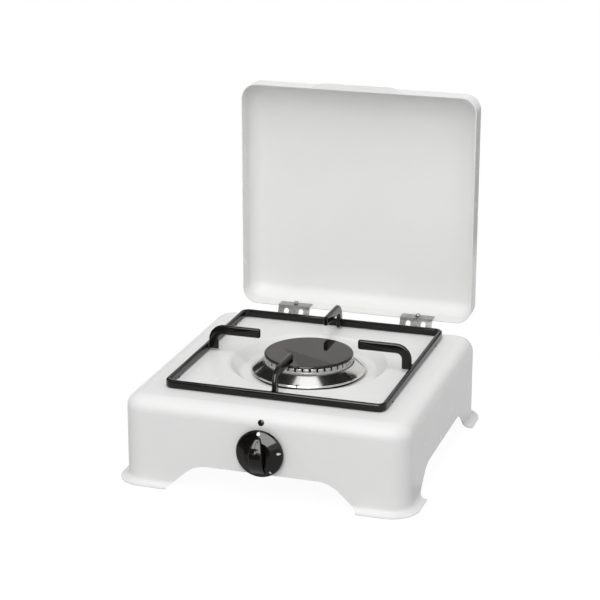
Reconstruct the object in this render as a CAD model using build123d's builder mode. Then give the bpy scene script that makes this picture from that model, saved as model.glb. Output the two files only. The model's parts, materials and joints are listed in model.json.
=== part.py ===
"""Camping stove with one burner: enamelled sheet body, pan support, gas tap and folding lid.

Millimetres.  +Z is up, +X is to the right of someone facing the knob and +Y is to the back.
The origin is on the floor, midway between the knob's front and the back of the open lid.
Every piece is drawn where it stands with the lid open.
"""

import math
import os

from build123d import *

os.makedirs("parts", exist_ok=True)

# Clearances
running_clearance = 0.06  # round the hinge pins and the tap's spindle
fit_clearance = 0.05  # round fasteners and pieces that are pushed together
seat_gap = 0.2  # under the pieces that lift off
edge_gap = 0.6  # round the pieces that lift off

# Body
body_width = 257.0
body_depth = 254.0
body_corner_radius = 19.0
body_sheet = 1.0
deck_height = 79.4
shoulder_radius = 13.0
foot_flare = 7.1  # how far the feet stand out from the walls
foot_land = 2.25  # flat edge of the feet that stands on the floor
arch_height = 23.0
arch_floor_width = 172.0
arch_lean = 25.0  # how far the ends of an arch slope inwards
arch_bend_radius = 30.0

# Well round the burner
burner_setback = 6.5  # burner axis behind the middle of the body
well_depth = 10.0
well_floor_margin = 10.0  # flat floor outside the spill ring
well_slope_width = 10.0
well_bend_radius = 5.0

# Burner
base_radius = 39.0
base_wall = 2.5
base_bottom_height = 32.0
base_rim_rise = 10.4  # rim of the cast bowl above the well's floor
base_flange_width = 9.0
base_flange_height = 2.5
ring_gap = 3.2  # between the bowl's flange and the spill ring
ring_sheet = 0.8
ring_lip_height = 4.0
ring_height = 11.1
ring_bend_radius = 0.7
crown_overhang = 1.6  # crown outside the bowl's rim
crown_spigot_wall = 2.4
crown_height = 6.1
crown_spigot_depth = 6.5
crown_slot_count = 38
crown_slot_width = 2.0
crown_slot_height = 3.2
cap_inset = 0.2  # cap's edge inside the crown's
cap_thickness = 2.0
cap_edge_radius = 1.2
cap_ring_depth = 4.0
cap_ring_wall = 3.0
burner_screw_count = 3

# Pan support
support_width = 200.0
support_depth = 207.7
support_corner_radius = 8.0
bar_thickness = 4.0
bar_height = 7.3
bar_edge_radius = 0.8
finger_reach = 49.7  # from the frame's inner face to the tip
finger_height = 9.0
finger_tip_radius = 2.0
finger_bend_radius = 14.0
finger_rise = 18.3  # tops of the fingers above the top of the frame
finger_drop = 5.0  # foot of a finger's leg below the top of the frame
stud_radius = 1.75
stud_length = 7.0
stud_spacing = 150.0

# Lid
lid_depth = 30.0
lid_sheet = 0.8
lid_corner_radius = 15.0
lid_edge_radius = 13.0
lid_rear_inset = 10.25  # rear edge of the shut lid, in from the back wall
lid_front_inset = 23.25
lid_side_inset = 13.0
lip_width = 95.0
lip_tip_width = 70.0
lip_reach = 5.0
lip_bend_radius = 16.0
lid_hole_radius = 1.5
lid_hole_from_rear = 41.0
lid_hole_from_rim = 8.0

# Hinges
hinge_from_side = 53.5  # middle of a hinge in from the lid's side edge
hinge_back = 6.8  # hinge axis behind the back wall
hinge_drop = 18.5  # hinge axis below the deck
strap_width = 32.0
strap_sheet = 1.0
strap_gap = 0.8  # between a strap and the body when the lid is shut
strap_leg = 9.0  # length of the strap on the lid's rear wall
window_width = 5.0
window_height = 9.0
window_spacing = 15.0
window_bridge = 2.0
pin_radius = 1.5
pin_head_radius = 2.4
pin_head_length = 1.0
knuckle_width = 15.0
knuckle_side_gap = 0.4
bracket_sheet = 1.2
bracket_height = 23.0
bracket_screw_spacing = 20.0
bracket_screw_height = 6.0  # above the bracket's lower edge
rivet_radius = 1.5
rivet_from_rim = 5.6
rivet_head_radius = 2.4
rivet_head_height = 2.4
rivet_dome_radius = 1.9
rivet_tail_radius = 2.5
rivet_tail_height = 0.7

# Screws and nuts
screw_radius = 2.0
screw_head_radius = 3.6
screw_head_height = 2.2
screw_slot_width = 0.9
screw_slot_depth = 1.0
nut_across_flats = 7.0
nut_height = 3.2
thread_end = 1.0  # thread that shows past a nut

# Tap
tap_height = 43.5
tap_barrel_radius = 10.0
tap_barrel_length = 32.0
tap_flange_width = 36.0
tap_flange_height = 21.0
tap_flange_thickness = 5.0
bonnet_thickness = 2.0
panel_screw_spacing = 26.0
plug_radius = 6.5
plug_length = 22.0
plug_counterbore_radius = 5.0
plug_counterbore_depth = 6.5
plug_socket_depth = 15.0
gas_bore_radius = 2.0
stem_radius = 3.0
stem_flat = 1.8  # height of the stem's flat above its axis
stem_reach = 9.0  # rear end of the stem behind the bonnet
stem_hole_radius = 6.0
collar_radius = 4.6
collar_thickness = 1.0
spring_inner_radius = 3.4
spring_outer_radius = 4.4
branch_radius = 7.0
branch_length = 20.0  # from the tap's axis
branch_setback = 18.0  # from the front of the tap

# Injector and mixer tube
injector_across_flats = 10.0
injector_hex_length = 4.0
injector_nozzle_radius = 3.5
injector_nozzle_length = 8.0
injector_thread_radius = 3.5
injector_thread_length = 5.0
injector_hole_radius = 0.5
mixer_radius = 9.0
mixer_wall = 1.5
mixer_overlap = 4.0  # injector nozzle inside the tube's mouth
mixer_flange_radius = 11.0
mixer_flange_length = 2.0
mixer_entry = 4.0  # tube inside the bowl
air_hole_radius = 3.5
air_hole_from_mouth = 12.0
shutter_sheet = 0.8
shutter_length = 6.0
shutter_slit = 6.0

# Knob
knob_radius = 21.3
knob_rim_height = 2.0
knob_skirt = 6.2  # height of the hub in the middle of the skirt
hub_radius = 12.4
hub_edge_radius = 1.5
knob_depth = 13.6
knob_push_travel = 2.5
knob_stand_off = 0.7  # between the panel and the pushed knob
knob_edge_radius = 0.9
knob_recess = 1.6  # hollow in the back of the skirt
grip_width = 13.0
grip_tip_width = 7.0
grip_edge_radius = 1.0
grip_end_margin = 3.6  # from the grip's corners to the edge of the skirt
knob_wall = 2.8
boss_radius = 6.0
stem_in_knob = 9.0
clip_thickness = 0.4
clip_width = 3.6
clip_length = 7.0

# Gas inlet
pipe_radius = 4.0
pipe_wall = 1.0
pipe_bend_radius = 16.0
union_nut_across_flats = 18.0
union_nut_overlap = 6.0
union_nut_length = 12.0
inlet_from_side = 31.5  # in from the right-hand wall
inlet_shank_radius = 6.5
inlet_shank_length = 17.0
inlet_socket_depth = 8.0
inlet_hex_across_flats = 17.0
inlet_hex_length = 6.0
hose_tail_radius = 4.0
hose_tail_length = 14.0
hose_bead_radius = 5.2
hose_bead_length = 6.0
hose_neck_length = 4.0
washer_radius = 10.0
washer_thickness = 1.2
locknut_across_flats = 19.0
locknut_height = 5.0

# Places that follow from the sizes above
knob_gap = knob_push_travel + knob_stand_off
lid_width = body_width - 2 * lid_side_inset
lid_length = body_depth - lid_rear_inset - lid_front_inset
lid_gap = strap_gap + strap_sheet + seat_gap  # under the rim of the shut lid
knob_front = body_depth / 2 + knob_gap + knob_depth  # in front of the middle of the body
hinge_setback = body_depth / 2 + hinge_back
rim_rise = hinge_drop + lid_gap  # rim of the shut lid above the hinge axis
lid_back = hinge_setback + rim_rise + lid_depth  # back of the open lid behind the middle of the body
body_y = (knob_front - lid_back) / 2
burner_y = body_y + burner_setback
front_y = body_y - body_depth / 2
back_y = body_y + body_depth / 2
hinge_y = body_y + hinge_setback
hinge_z = deck_height - hinge_drop
bore_radius = pin_radius + running_clearance
bracket_top = hinge_z - bore_radius
hinge_offset = lid_width / 2 - hinge_from_side
hinge_places = {"left": -hinge_offset, "right": hinge_offset}
foot_fillet = foot_flare - foot_land
well_floor_height = deck_height - well_depth
burner_hole_radius = base_radius + edge_gap
base_rim_height = well_floor_height + base_rim_rise
base_flange_radius = base_radius + base_flange_width
burner_screw_circle = base_radius + base_flange_width / 2
ring_radius = base_flange_radius + ring_gap + ring_sheet
well_floor_radius = ring_radius + well_floor_margin
well_mouth_radius = well_floor_radius + well_slope_width + well_bend_radius
crown_radius = base_radius + crown_overhang
spigot_radius = base_radius - base_wall - edge_gap
crown_inner_radius = spigot_radius - crown_spigot_wall
cap_radius = crown_radius - cap_inset
crown_bottom = base_rim_height + seat_gap
crown_top = crown_bottom + crown_height
support_bottom = deck_height + seat_gap
support_top = support_bottom + bar_height
finger_top = support_top + finger_rise
tap_front = front_y + body_sheet + bonnet_thickness
screw_hole_radius = screw_radius + fit_clearance
knob_back = front_y - knob_gap
inlet_x = body_width / 2 - inlet_from_side

# Planes.  A turned burner piece is drawn as radius and height, and a piece on the tap's line as X and Z.
burner_axis = Axis((0, burner_y, 0), (0, 0, 1))
burner_section = Plane(origin=(0, burner_y, 0), x_dir=(1, 0, 0), z_dir=(0, -1, 0))
# A hinge is drawn with the lid shut, as distances back and up from its axis, on a plane turned with the lid.
open_lid_x = (0, 0, -1)


def facing_front(x, y, z):
    """Plane seen from the front, with X to the right and Z up; it extrudes towards the front."""
    return Plane(origin=(x, y, z), x_dir=(1, 0, 0), z_dir=(0, -1, 0))


def facing_back(x, y, z):
    """Plane that extrudes towards the back."""
    return Plane(origin=(x, y, z), x_dir=(1, 0, 0), z_dir=(0, 1, 0))


# Hollow inside the body
with BuildPart() as body_hollow:
    with BuildSketch():
        with Locations((0, body_y)):
            RectangleRounded(
                body_width - 2 * body_sheet, body_depth - 2 * body_sheet, body_corner_radius - body_sheet
            )
    extrude(amount=deck_height - body_sheet)
    fillet(body_hollow.faces().sort_by(Axis.Z)[-1].edges(), shoulder_radius - body_sheet)

# Body pressed from one sheet, with a rounded shoulder, flared feet, arches and a round well
bracket_holes = [
    (hinge_x + side * bracket_screw_spacing / 2, bracket_top - bracket_height + bracket_screw_height)
    for hinge_x in hinge_places.values()
    for side in (-1, 1)
]
stud_places = [
    (side * (support_width - bar_thickness) / 2, burner_y + end * stud_spacing / 2)
    for side in (-1, 1)
    for end in (-1, 1)
]
with BuildPart() as cabinet_shell:
    with BuildSketch():
        with Locations((0, body_y)):
            RectangleRounded(body_width, body_depth, body_corner_radius)
    extrude(amount=deck_height)
    fillet(cabinet_shell.faces().sort_by(Axis.Z)[-1].edges(), shoulder_radius)
    with BuildSketch():
        with Locations((0, body_y)):
            RectangleRounded(
                body_width + 2 * foot_flare, body_depth + 2 * foot_flare, body_corner_radius + foot_flare
            )
    extrude(amount=body_sheet)
    foot_top = cabinet_shell.faces().filter_by(Axis.Z).sort_by(Axis.Z)[1]
    fillet(foot_top.inner_wires()[0].edges(), foot_fillet)
    add(body_hollow.part, mode=Mode.SUBTRACT)
    fillet(cabinet_shell.faces().sort_by(Axis.Z)[0].inner_wires()[0].edges(), foot_fillet + body_sheet)
    for arch_plane in (Plane.XZ, Plane.YZ.shift_origin((0, body_y, 0))):
        with BuildSketch(arch_plane):
            with BuildLine():
                arch_edge = FilletPolyline(
                    (-arch_floor_width / 2, 0),
                    (arch_lean - arch_floor_width / 2, arch_height),
                    (arch_floor_width / 2 - arch_lean, arch_height),
                    (arch_floor_width / 2, 0),
                    radius=arch_bend_radius,
                )
                Line(arch_edge @ 1, arch_edge @ 0)
            make_face()
        extrude(amount=body_width + body_depth, both=True, mode=Mode.SUBTRACT)
    with Locations((0, burner_y, deck_height)):
        Cylinder(well_mouth_radius, 4 * body_sheet, mode=Mode.SUBTRACT)
    with BuildSketch(burner_section):
        with BuildLine():
            well_top = FilletPolyline(
                (burner_hole_radius, well_floor_height),
                (well_floor_radius, well_floor_height),
                (well_floor_radius + well_slope_width, deck_height),
                (well_mouth_radius, deck_height),
                radius=well_bend_radius,
            )
            well_under = FilletPolyline(
                (burner_hole_radius, well_floor_height - body_sheet),
                (well_floor_radius, well_floor_height - body_sheet),
                (well_floor_radius + well_slope_width, deck_height - body_sheet),
                (well_mouth_radius, deck_height - body_sheet),
                radius=well_bend_radius,
            )
            Line(well_top @ 0, well_under @ 0)
            Line(well_top @ 1, well_under @ 1)
        make_face()
    revolve(axis=burner_axis)
    with BuildSketch(Plane.XY.offset(deck_height)):
        with Locations(*stud_places):
            Circle(stud_radius + edge_gap)
    extrude(amount=-2 * body_sheet, mode=Mode.SUBTRACT)
    with BuildSketch(Plane.XY.offset(well_floor_height)):
        with Locations((0, burner_y)):
            with PolarLocations(burner_screw_circle, burner_screw_count, start_angle=90):
                Circle(screw_hole_radius)
    extrude(amount=-2 * body_sheet, mode=Mode.SUBTRACT)
    with BuildSketch(facing_back(0, front_y, tap_height)):
        Circle(stem_hole_radius)
        with GridLocations(panel_screw_spacing, 0, 2, 1):
            Circle(screw_hole_radius)
    extrude(amount=2 * body_sheet, mode=Mode.SUBTRACT)
    with BuildSketch(facing_front(0, back_y, 0)):
        with Locations(*bracket_holes):
            Circle(screw_hole_radius)
        with Locations((inlet_x, tap_height)):
            Circle(inlet_shank_radius + fit_clearance)
    extrude(amount=2 * body_sheet, mode=Mode.SUBTRACT)
cabinet_shell.part.label = "cabinet_shell"
export_step(cabinet_shell.part, "parts/cabinet_shell.step")

# Lid: a shallow tray, drawn on its rim with local X across, local Y to the hinge and Z to the panel
lid_centre_back = -(hinge_back + lid_rear_inset + lid_length / 2)  # behind the hinge axis, lid shut
lid_plane = Plane(
    origin=(0, hinge_y + rim_rise, hinge_z - lid_centre_back), x_dir=(1, 0, 0), z_dir=(0, 1, 0)
)
rivet_rise = rim_rise + rivet_from_rim
rivet_places = [(hinge_x, hinge_y + rivet_rise) for hinge_x in hinge_places.values()]
side_hole_place = (
    hinge_y + rim_rise + lid_hole_from_rim,
    lid_plane.origin.Z - lid_length / 2 + lid_hole_from_rear,
)
rear_wall_inside = -(hinge_back + lid_rear_inset + lid_sheet)  # lid shut, behind the hinge axis
with BuildPart() as lid_hollow:
    with BuildSketch(lid_plane):
        RectangleRounded(lid_width - 2 * lid_sheet, lid_length - 2 * lid_sheet, lid_corner_radius - lid_sheet)
    extrude(amount=lid_depth - lid_sheet)
    fillet(lid_hollow.faces().sort_by(Axis.Y)[-1].edges(), lid_edge_radius - lid_sheet)

with BuildPart() as lid_shell:
    with BuildSketch(lid_plane):
        RectangleRounded(lid_width, lid_length, lid_corner_radius)
    extrude(amount=lid_depth)
    fillet(lid_shell.faces().sort_by(Axis.Y)[-1].edges(), lid_edge_radius)
    with BuildSketch(lid_plane):
        with BuildLine():
            lip_edge = FilletPolyline(
                (-lip_width / 2, lid_sheet - lid_length / 2),
                (-lip_tip_width / 2, -lip_reach - lid_length / 2),
                (lip_tip_width / 2, -lip_reach - lid_length / 2),
                (lip_width / 2, lid_sheet - lid_length / 2),
                radius=lip_bend_radius,
            )
            Line(lip_edge @ 0, lip_edge @ 1)
        make_face()
    extrude(amount=lid_sheet)
    add(lid_hollow.part, mode=Mode.SUBTRACT)
    with BuildSketch(Plane.YZ):
        with Locations(side_hole_place):
            Circle(lid_hole_radius)
    extrude(amount=lid_width, both=True, mode=Mode.SUBTRACT)
    with BuildSketch(Plane.XY.offset(hinge_z - rear_wall_inside)):
        with Locations(*rivet_places):
            Circle(rivet_radius + fit_clearance)
    extrude(amount=2 * lid_sheet, both=True, mode=Mode.SUBTRACT)
lid_shell.part.label = "lid_shell"
export_step(lid_shell.part, "parts/lid_shell.step")

# Lid straps: riveted inside the lid's rear wall, over the body's shoulder and rolled round the hinge pin
shoulder_back = -(hinge_back + shoulder_radius)  # centre of the shoulder's bend behind the hinge axis
shoulder_rise = hinge_drop - shoulder_radius  # and above it
strap_inner = shoulder_radius + strap_gap
strap_outer = strap_inner + strap_sheet
knuckle_radius = bore_radius + strap_sheet
shoulder_distance = math.hypot(shoulder_back, shoulder_rise)
axis_angle = math.atan2(-shoulder_rise, -shoulder_back)  # from the shoulder's centre to the hinge axis
tangent_angle = axis_angle + math.acos((strap_inner - bore_radius) / shoulder_distance)
tangent = Vector(math.cos(tangent_angle), math.sin(tangent_angle))
shoulder_centre = Vector(shoulder_back, shoulder_rise)
leg_inside = rear_wall_inside - strap_sheet
arc_start = math.degrees(tangent_angle)
arc_size = math.degrees(math.acos((leg_inside - shoulder_back) / strap_outer)) - arc_start
arc_rise_at_wall = math.sqrt(strap_outer**2 - (rear_wall_inside - shoulder_back) ** 2)
leg_foot = shoulder_rise + arc_rise_at_wall - strap_sheet / 2
window_top = hinge_z - rear_wall_inside - window_bridge
for side, hinge_x in hinge_places.items():
    strap_plane = Plane(
        origin=(hinge_x - strap_width / 2, hinge_y, hinge_z), x_dir=open_lid_x, z_dir=(1, 0, 0)
    )
    with BuildPart() as lid_strap:
        with BuildSketch(strap_plane):
            with BuildLine():
                outer_arc = CenterArc(shoulder_centre, strap_outer, arc_start, arc_size)
                inner_arc = CenterArc(shoulder_centre, strap_inner, arc_start, arc_size)
                Line(outer_arc @ 0, tangent * knuckle_radius)
                Line(tangent * knuckle_radius, tangent * bore_radius)
                Line(tangent * bore_radius, inner_arc @ 0)
                Line(inner_arc @ 1, outer_arc @ 1)
            make_face()
            with Locations(((leg_inside + rear_wall_inside) / 2, (leg_foot + rim_rise + strap_leg) / 2)):
                Rectangle(strap_sheet, rim_rise + strap_leg - leg_foot)
            Circle(knuckle_radius)
            Circle(bore_radius, mode=Mode.SUBTRACT)
        extrude(amount=strap_width)
        with BuildSketch(facing_back(hinge_x, hinge_y, window_top - window_height / 2)):
            with GridLocations(window_spacing, 0, 2, 1):
                SlotOverall(window_height, window_width, rotation=90)
        extrude(amount=rim_rise + strap_sheet, mode=Mode.SUBTRACT)
        with BuildSketch(Plane.YZ.offset(hinge_x - knuckle_width / 2 - knuckle_side_gap)):
            with Locations((hinge_y, hinge_z)):
                Circle(knuckle_radius + bracket_sheet)
        extrude(amount=knuckle_width + 2 * knuckle_side_gap, mode=Mode.SUBTRACT)
        with BuildSketch(Plane.XY.offset(hinge_z - rear_wall_inside)):
            with Locations((hinge_x, hinge_y + rivet_rise)):
                Circle(rivet_radius + fit_clearance)
        extrude(amount=2 * strap_sheet, mode=Mode.SUBTRACT)
    lid_strap.part.label = f"lid_strap_{side}"
    export_step(lid_strap.part, f"parts/lid_strap_{side}.step")

# Rivets that hold the straps, with a dome inside the lid
with BuildPart() as lid_rivets:
    strap_face = hinge_z - leg_inside
    wall_outside = hinge_z - rear_wall_inside - lid_sheet
    with BuildSketch(Plane.XY.offset(wall_outside - rivet_tail_height)):
        with Locations(*rivet_places):
            Circle(rivet_tail_radius)
    extrude(amount=rivet_tail_height)
    with BuildSketch(Plane.XY.offset(wall_outside)):
        with Locations(*rivet_places):
            Circle(rivet_radius)
    extrude(amount=strap_face - wall_outside)
    with BuildSketch(Plane.XY.offset(strap_face)):
        with Locations(*rivet_places):
            Circle(rivet_head_radius)
    extrude(amount=rivet_head_height)
    fillet(lid_rivets.faces().filter_by(Axis.Z).group_by(Axis.Z)[-1].edges(), rivet_dome_radius)
lid_rivets.part.label = "lid_rivets"
export_step(lid_rivets.part, "parts/lid_rivets.step")

# Hinge brackets on the back wall, each with one knuckle, and their pins
bracket_knuckle_radius = bore_radius + bracket_sheet
for side, hinge_x in hinge_places.items():
    with BuildPart() as hinge_bracket:
        with BuildSketch(facing_back(hinge_x, back_y, bracket_top - bracket_height / 2)):
            RectangleRounded(strap_width, bracket_height, 2 * bracket_sheet)
        extrude(amount=bracket_sheet)
        with BuildSketch(Plane.YZ.offset(hinge_x - knuckle_width / 2)):
            with Locations(((back_y + hinge_y) / 2, bracket_top - bracket_sheet / 2)):
                Rectangle(hinge_y - back_y, bracket_sheet)
            with Locations((hinge_y, hinge_z)):
                Circle(bracket_knuckle_radius)
                Circle(bore_radius, mode=Mode.SUBTRACT)
        extrude(amount=knuckle_width)
        with BuildSketch(facing_back(0, back_y, 0)):
            with Locations(*[(x, -z) for x, z in bracket_holes]):
                Circle(screw_hole_radius)
        extrude(amount=bracket_sheet, mode=Mode.SUBTRACT)
    hinge_bracket.part.label = f"hinge_bracket_{side}"
    export_step(hinge_bracket.part, f"parts/hinge_bracket_{side}.step")

    pin_end = strap_width / 2 + knuckle_side_gap
    with BuildPart() as hinge_pin:
        with BuildSketch(Plane.YZ.offset(hinge_x - pin_end)):
            with Locations((hinge_y, hinge_z)):
                Circle(pin_radius)
        extrude(amount=2 * pin_end)
        for head_start in (hinge_x - pin_end - pin_head_length, hinge_x + pin_end):
            with BuildSketch(Plane.YZ.offset(head_start)):
                with Locations((hinge_y, hinge_z)):
                    Circle(pin_head_radius)
            extrude(amount=pin_head_length)
    hinge_pin.part.label = f"hinge_pin_{side}"
    export_step(hinge_pin.part, f"parts/hinge_pin_{side}.step")

# Screws through the brackets and the back wall, with nuts inside
with BuildPart() as bracket_screws:
    with BuildSketch(facing_front(0, back_y + bracket_sheet, 0)):
        with Locations(*bracket_holes):
            Circle(screw_radius)
    extrude(amount=bracket_sheet + body_sheet + nut_height + thread_end)
    with BuildSketch(facing_back(0, back_y + bracket_sheet, 0)):
        with Locations(*[(x, -z) for x, z in bracket_holes]):
            Circle(screw_head_radius)
    extrude(amount=screw_head_height)
    fillet(bracket_screws.faces().filter_by(Axis.Y).group_by(Axis.Y)[-1].edges(), screw_head_height / 2)
    with BuildSketch(facing_front(0, back_y + bracket_sheet + screw_head_height, 0)):
        with Locations(*bracket_holes):
            Rectangle(2 * screw_head_radius, screw_slot_width)
    extrude(amount=screw_slot_depth, mode=Mode.SUBTRACT)
bracket_screws.part.label = "bracket_screws"
export_step(bracket_screws.part, "parts/bracket_screws.step")

with BuildPart() as bracket_nuts:
    with BuildSketch(facing_front(0, back_y - body_sheet, 0)):
        with Locations(*bracket_holes):
            RegularPolygon(nut_across_flats / 2, 6, major_radius=False)
            Circle(screw_hole_radius, mode=Mode.SUBTRACT)
    extrude(amount=nut_height)
bracket_nuts.part.label = "bracket_nuts"
export_step(bracket_nuts.part, "parts/bracket_nuts.step")

# Pan support: a bent flat bar, with studs under it that drop into holes in the deck
with BuildPart() as support_frame:
    with BuildSketch(Plane.XY.offset(support_bottom)):
        with Locations((0, burner_y)):
            RectangleRounded(support_width, support_depth, support_corner_radius)
            RectangleRounded(
                support_width - 2 * bar_thickness,
                support_depth - 2 * bar_thickness,
                support_corner_radius - bar_thickness,
                mode=Mode.SUBTRACT,
            )
    extrude(amount=bar_height)
    fillet(support_frame.faces().filter_by(Axis.Z).edges(), bar_edge_radius)
support_frame.part.label = "support_frame"
export_step(support_frame.part, "parts/support_frame.step")

with BuildPart() as support_studs:
    with BuildSketch(Plane.XY.offset(support_bottom)):
        with Locations(*stud_places):
            Circle(stud_radius)
    extrude(amount=-stud_length)
    fillet(support_studs.faces().filter_by(Axis.Z).group_by(Axis.Z)[0].edges(), stud_radius / 2)
support_studs.part.label = "support_studs"
export_step(support_studs.part, "parts/support_studs.step")

# Fingers that carry the pan, welded inside the middle of each side of the frame
finger_inner_bend = finger_bend_radius - finger_height
half_inside_width = support_width / 2 - bar_thickness
half_inside_depth = support_depth / 2 - bar_thickness
finger_places = {
    "front": ((0, burner_y - half_inside_depth, 0), (0, 1, 0)),
    "back": ((0, burner_y + half_inside_depth, 0), (0, -1, 0)),
    "left": ((-half_inside_width, burner_y, 0), (1, 0, 0)),
    "right": ((half_inside_width, burner_y, 0), (-1, 0, 0)),
}
for side, (foot, inward) in finger_places.items():
    finger_plane = Plane(origin=foot, x_dir=inward, z_dir=Vector(inward).cross(Vector(0, 0, 1)))
    with BuildPart() as support_finger:
        with BuildSketch(finger_plane):
            with BuildLine():
                FilletPolyline(
                    (0, support_top - finger_drop),
                    (0, finger_top),
                    (finger_reach, finger_top),
                    (finger_reach, finger_top - finger_height),
                    (finger_height, finger_top - finger_height),
                    (finger_height, support_top - finger_drop),
                    radius=(finger_bend_radius, finger_tip_radius, finger_tip_radius, finger_inner_bend),
                )
                Line((finger_height, support_top - finger_drop), (0, support_top - finger_drop))
            make_face()
        extrude(amount=bar_thickness / 2, both=True)
        fillet(support_finger.faces().filter_by(finger_plane).edges(), bar_edge_radius)
    support_finger.part.label = f"support_finger_{side}"
    export_step(support_finger.part, f"parts/support_finger_{side}.step")

# Burner bowl: a casting that hangs in the well by its flange
with BuildPart() as burner_base:
    with BuildSketch(burner_section):
        with BuildLine():
            Polyline(
                (0, base_bottom_height),
                (base_radius, base_bottom_height),
                (base_radius, well_floor_height),
                (base_flange_radius, well_floor_height),
                (base_flange_radius, well_floor_height + base_flange_height),
                (base_radius, well_floor_height + base_flange_height),
                (base_radius, base_rim_height),
                (base_radius - base_wall, base_rim_height),
                (base_radius - base_wall, base_bottom_height + base_wall),
                (0, base_bottom_height + base_wall),
                close=True,
            )
        make_face()
    revolve(axis=burner_axis)
    with BuildSketch(Plane.XY.offset(well_floor_height)):
        with Locations((0, burner_y)):
            with PolarLocations(burner_screw_circle, burner_screw_count, start_angle=90):
                Circle(screw_hole_radius)
    extrude(amount=base_flange_height, mode=Mode.SUBTRACT)
    with BuildSketch(facing_front(0, burner_y, tap_height)):
        Circle(mixer_radius + fit_clearance)
    extrude(amount=base_radius, mode=Mode.SUBTRACT)
burner_base.part.label = "burner_base"
export_step(burner_base.part, "parts/burner_base.step")

# Screws that hold the bowl's flange down, with nuts under the well's floor
flange_top = well_floor_height + base_flange_height
with BuildPart() as burner_screws:
    with BuildSketch(Plane.XY.offset(flange_top)):
        with Locations((0, burner_y)):
            with PolarLocations(burner_screw_circle, burner_screw_count, start_angle=90):
                Circle(screw_radius)
    extrude(amount=-(base_flange_height + body_sheet + nut_height + thread_end))
    with BuildSketch(Plane.XY.offset(flange_top)):
        with Locations((0, burner_y)):
            with PolarLocations(burner_screw_circle, burner_screw_count, start_angle=90):
                Circle(screw_head_radius)
    extrude(amount=screw_head_height)
    fillet(burner_screws.faces().filter_by(Axis.Z).group_by(Axis.Z)[-1].edges(), screw_head_height / 2)
burner_screws.part.label = "burner_screws"
export_step(burner_screws.part, "parts/burner_screws.step")

with BuildPart() as burner_nuts:
    with BuildSketch(Plane.XY.offset(well_floor_height - body_sheet)):
        with Locations((0, burner_y)):
            with PolarLocations(burner_screw_circle, burner_screw_count, start_angle=90):
                RegularPolygon(nut_across_flats / 2, 6, major_radius=False)
                Circle(screw_hole_radius, mode=Mode.SUBTRACT)
    extrude(amount=-nut_height)
burner_nuts.part.label = "burner_nuts"
export_step(burner_nuts.part, "parts/burner_nuts.step")

# Spill ring: a polished cone that stands on the well's floor and hides the flange
ring_inner_radius = crown_radius + edge_gap
ring_top = well_floor_height + ring_height
with BuildPart() as spill_ring:
    with BuildSketch(burner_section):
        with BuildLine():
            Polyline(
                (ring_radius, well_floor_height),
                (ring_radius, well_floor_height + ring_lip_height),
                (ring_inner_radius, ring_top),
                (ring_inner_radius, ring_top - ring_sheet),
                (ring_radius - ring_sheet, well_floor_height + ring_lip_height - ring_sheet / 2),
                (ring_radius - ring_sheet, well_floor_height),
                close=True,
            )
        make_face()
    revolve(axis=burner_axis)
    lip_corner = spill_ring.edges().filter_by_position(
        Axis.Z,
        well_floor_height + ring_lip_height - fit_clearance,
        well_floor_height + ring_lip_height + fit_clearance,
    )
    fillet(lip_corner, ring_bend_radius)
spill_ring.part.label = "spill_ring"
export_step(spill_ring.part, "parts/spill_ring.step")

# Burner crown: a loose ring with flame slots, located by its spigot in the bowl
with BuildPart() as burner_crown:
    with BuildSketch(burner_section):
        with BuildLine():
            Polyline(
                (crown_inner_radius, crown_bottom - crown_spigot_depth),
                (spigot_radius, crown_bottom - crown_spigot_depth),
                (spigot_radius, crown_bottom),
                (crown_radius, crown_bottom),
                (crown_radius, crown_top),
                (crown_inner_radius, crown_top),
                close=True,
            )
        make_face()
    revolve(axis=burner_axis)
    with BuildSketch(Plane.XY.offset(crown_top - crown_slot_height)):
        with Locations((0, burner_y)):
            with PolarLocations((crown_inner_radius + crown_radius) / 2, crown_slot_count):
                Rectangle(2 * (crown_radius - crown_inner_radius), crown_slot_width)
    extrude(amount=crown_slot_height, mode=Mode.SUBTRACT)
burner_crown.part.label = "burner_crown"
export_step(burner_crown.part, "parts/burner_crown.step")

# Burner cap: a loose disc on the crown's teeth, with a ring under it that keeps it central
cap_bottom = crown_top + seat_gap
cap_ring_radius = crown_inner_radius - edge_gap
with BuildPart() as burner_cap:
    with BuildSketch(burner_section):
        with BuildLine():
            Polyline(
                (0, cap_bottom),
                (cap_ring_radius - cap_ring_wall, cap_bottom),
                (cap_ring_radius - cap_ring_wall, cap_bottom - cap_ring_depth),
                (cap_ring_radius, cap_bottom - cap_ring_depth),
                (cap_ring_radius, cap_bottom),
                (cap_radius, cap_bottom),
                (cap_radius, cap_bottom + cap_thickness),
                (0, cap_bottom + cap_thickness),
                close=True,
            )
        make_face()
    revolve(axis=burner_axis)
    fillet(burner_cap.faces().sort_by(Axis.Z)[-1].edges(), cap_edge_radius)
burner_cap.part.label = "burner_cap"
export_step(burner_cap.part, "parts/burner_cap.step")

# Tap bonnet: a plate between the front panel and the tap
with BuildPart() as tap_bonnet:
    with BuildSketch(facing_back(0, front_y + body_sheet, tap_height)):
        RectangleRounded(tap_flange_width, tap_flange_height, bonnet_thickness)
        Circle(stem_radius + running_clearance, mode=Mode.SUBTRACT)
        with GridLocations(panel_screw_spacing, 0, 2, 1):
            Circle(screw_hole_radius, mode=Mode.SUBTRACT)
    extrude(amount=bonnet_thickness)
tap_bonnet.part.label = "tap_bonnet"
export_step(tap_bonnet.part, "parts/tap_bonnet.step")

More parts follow.
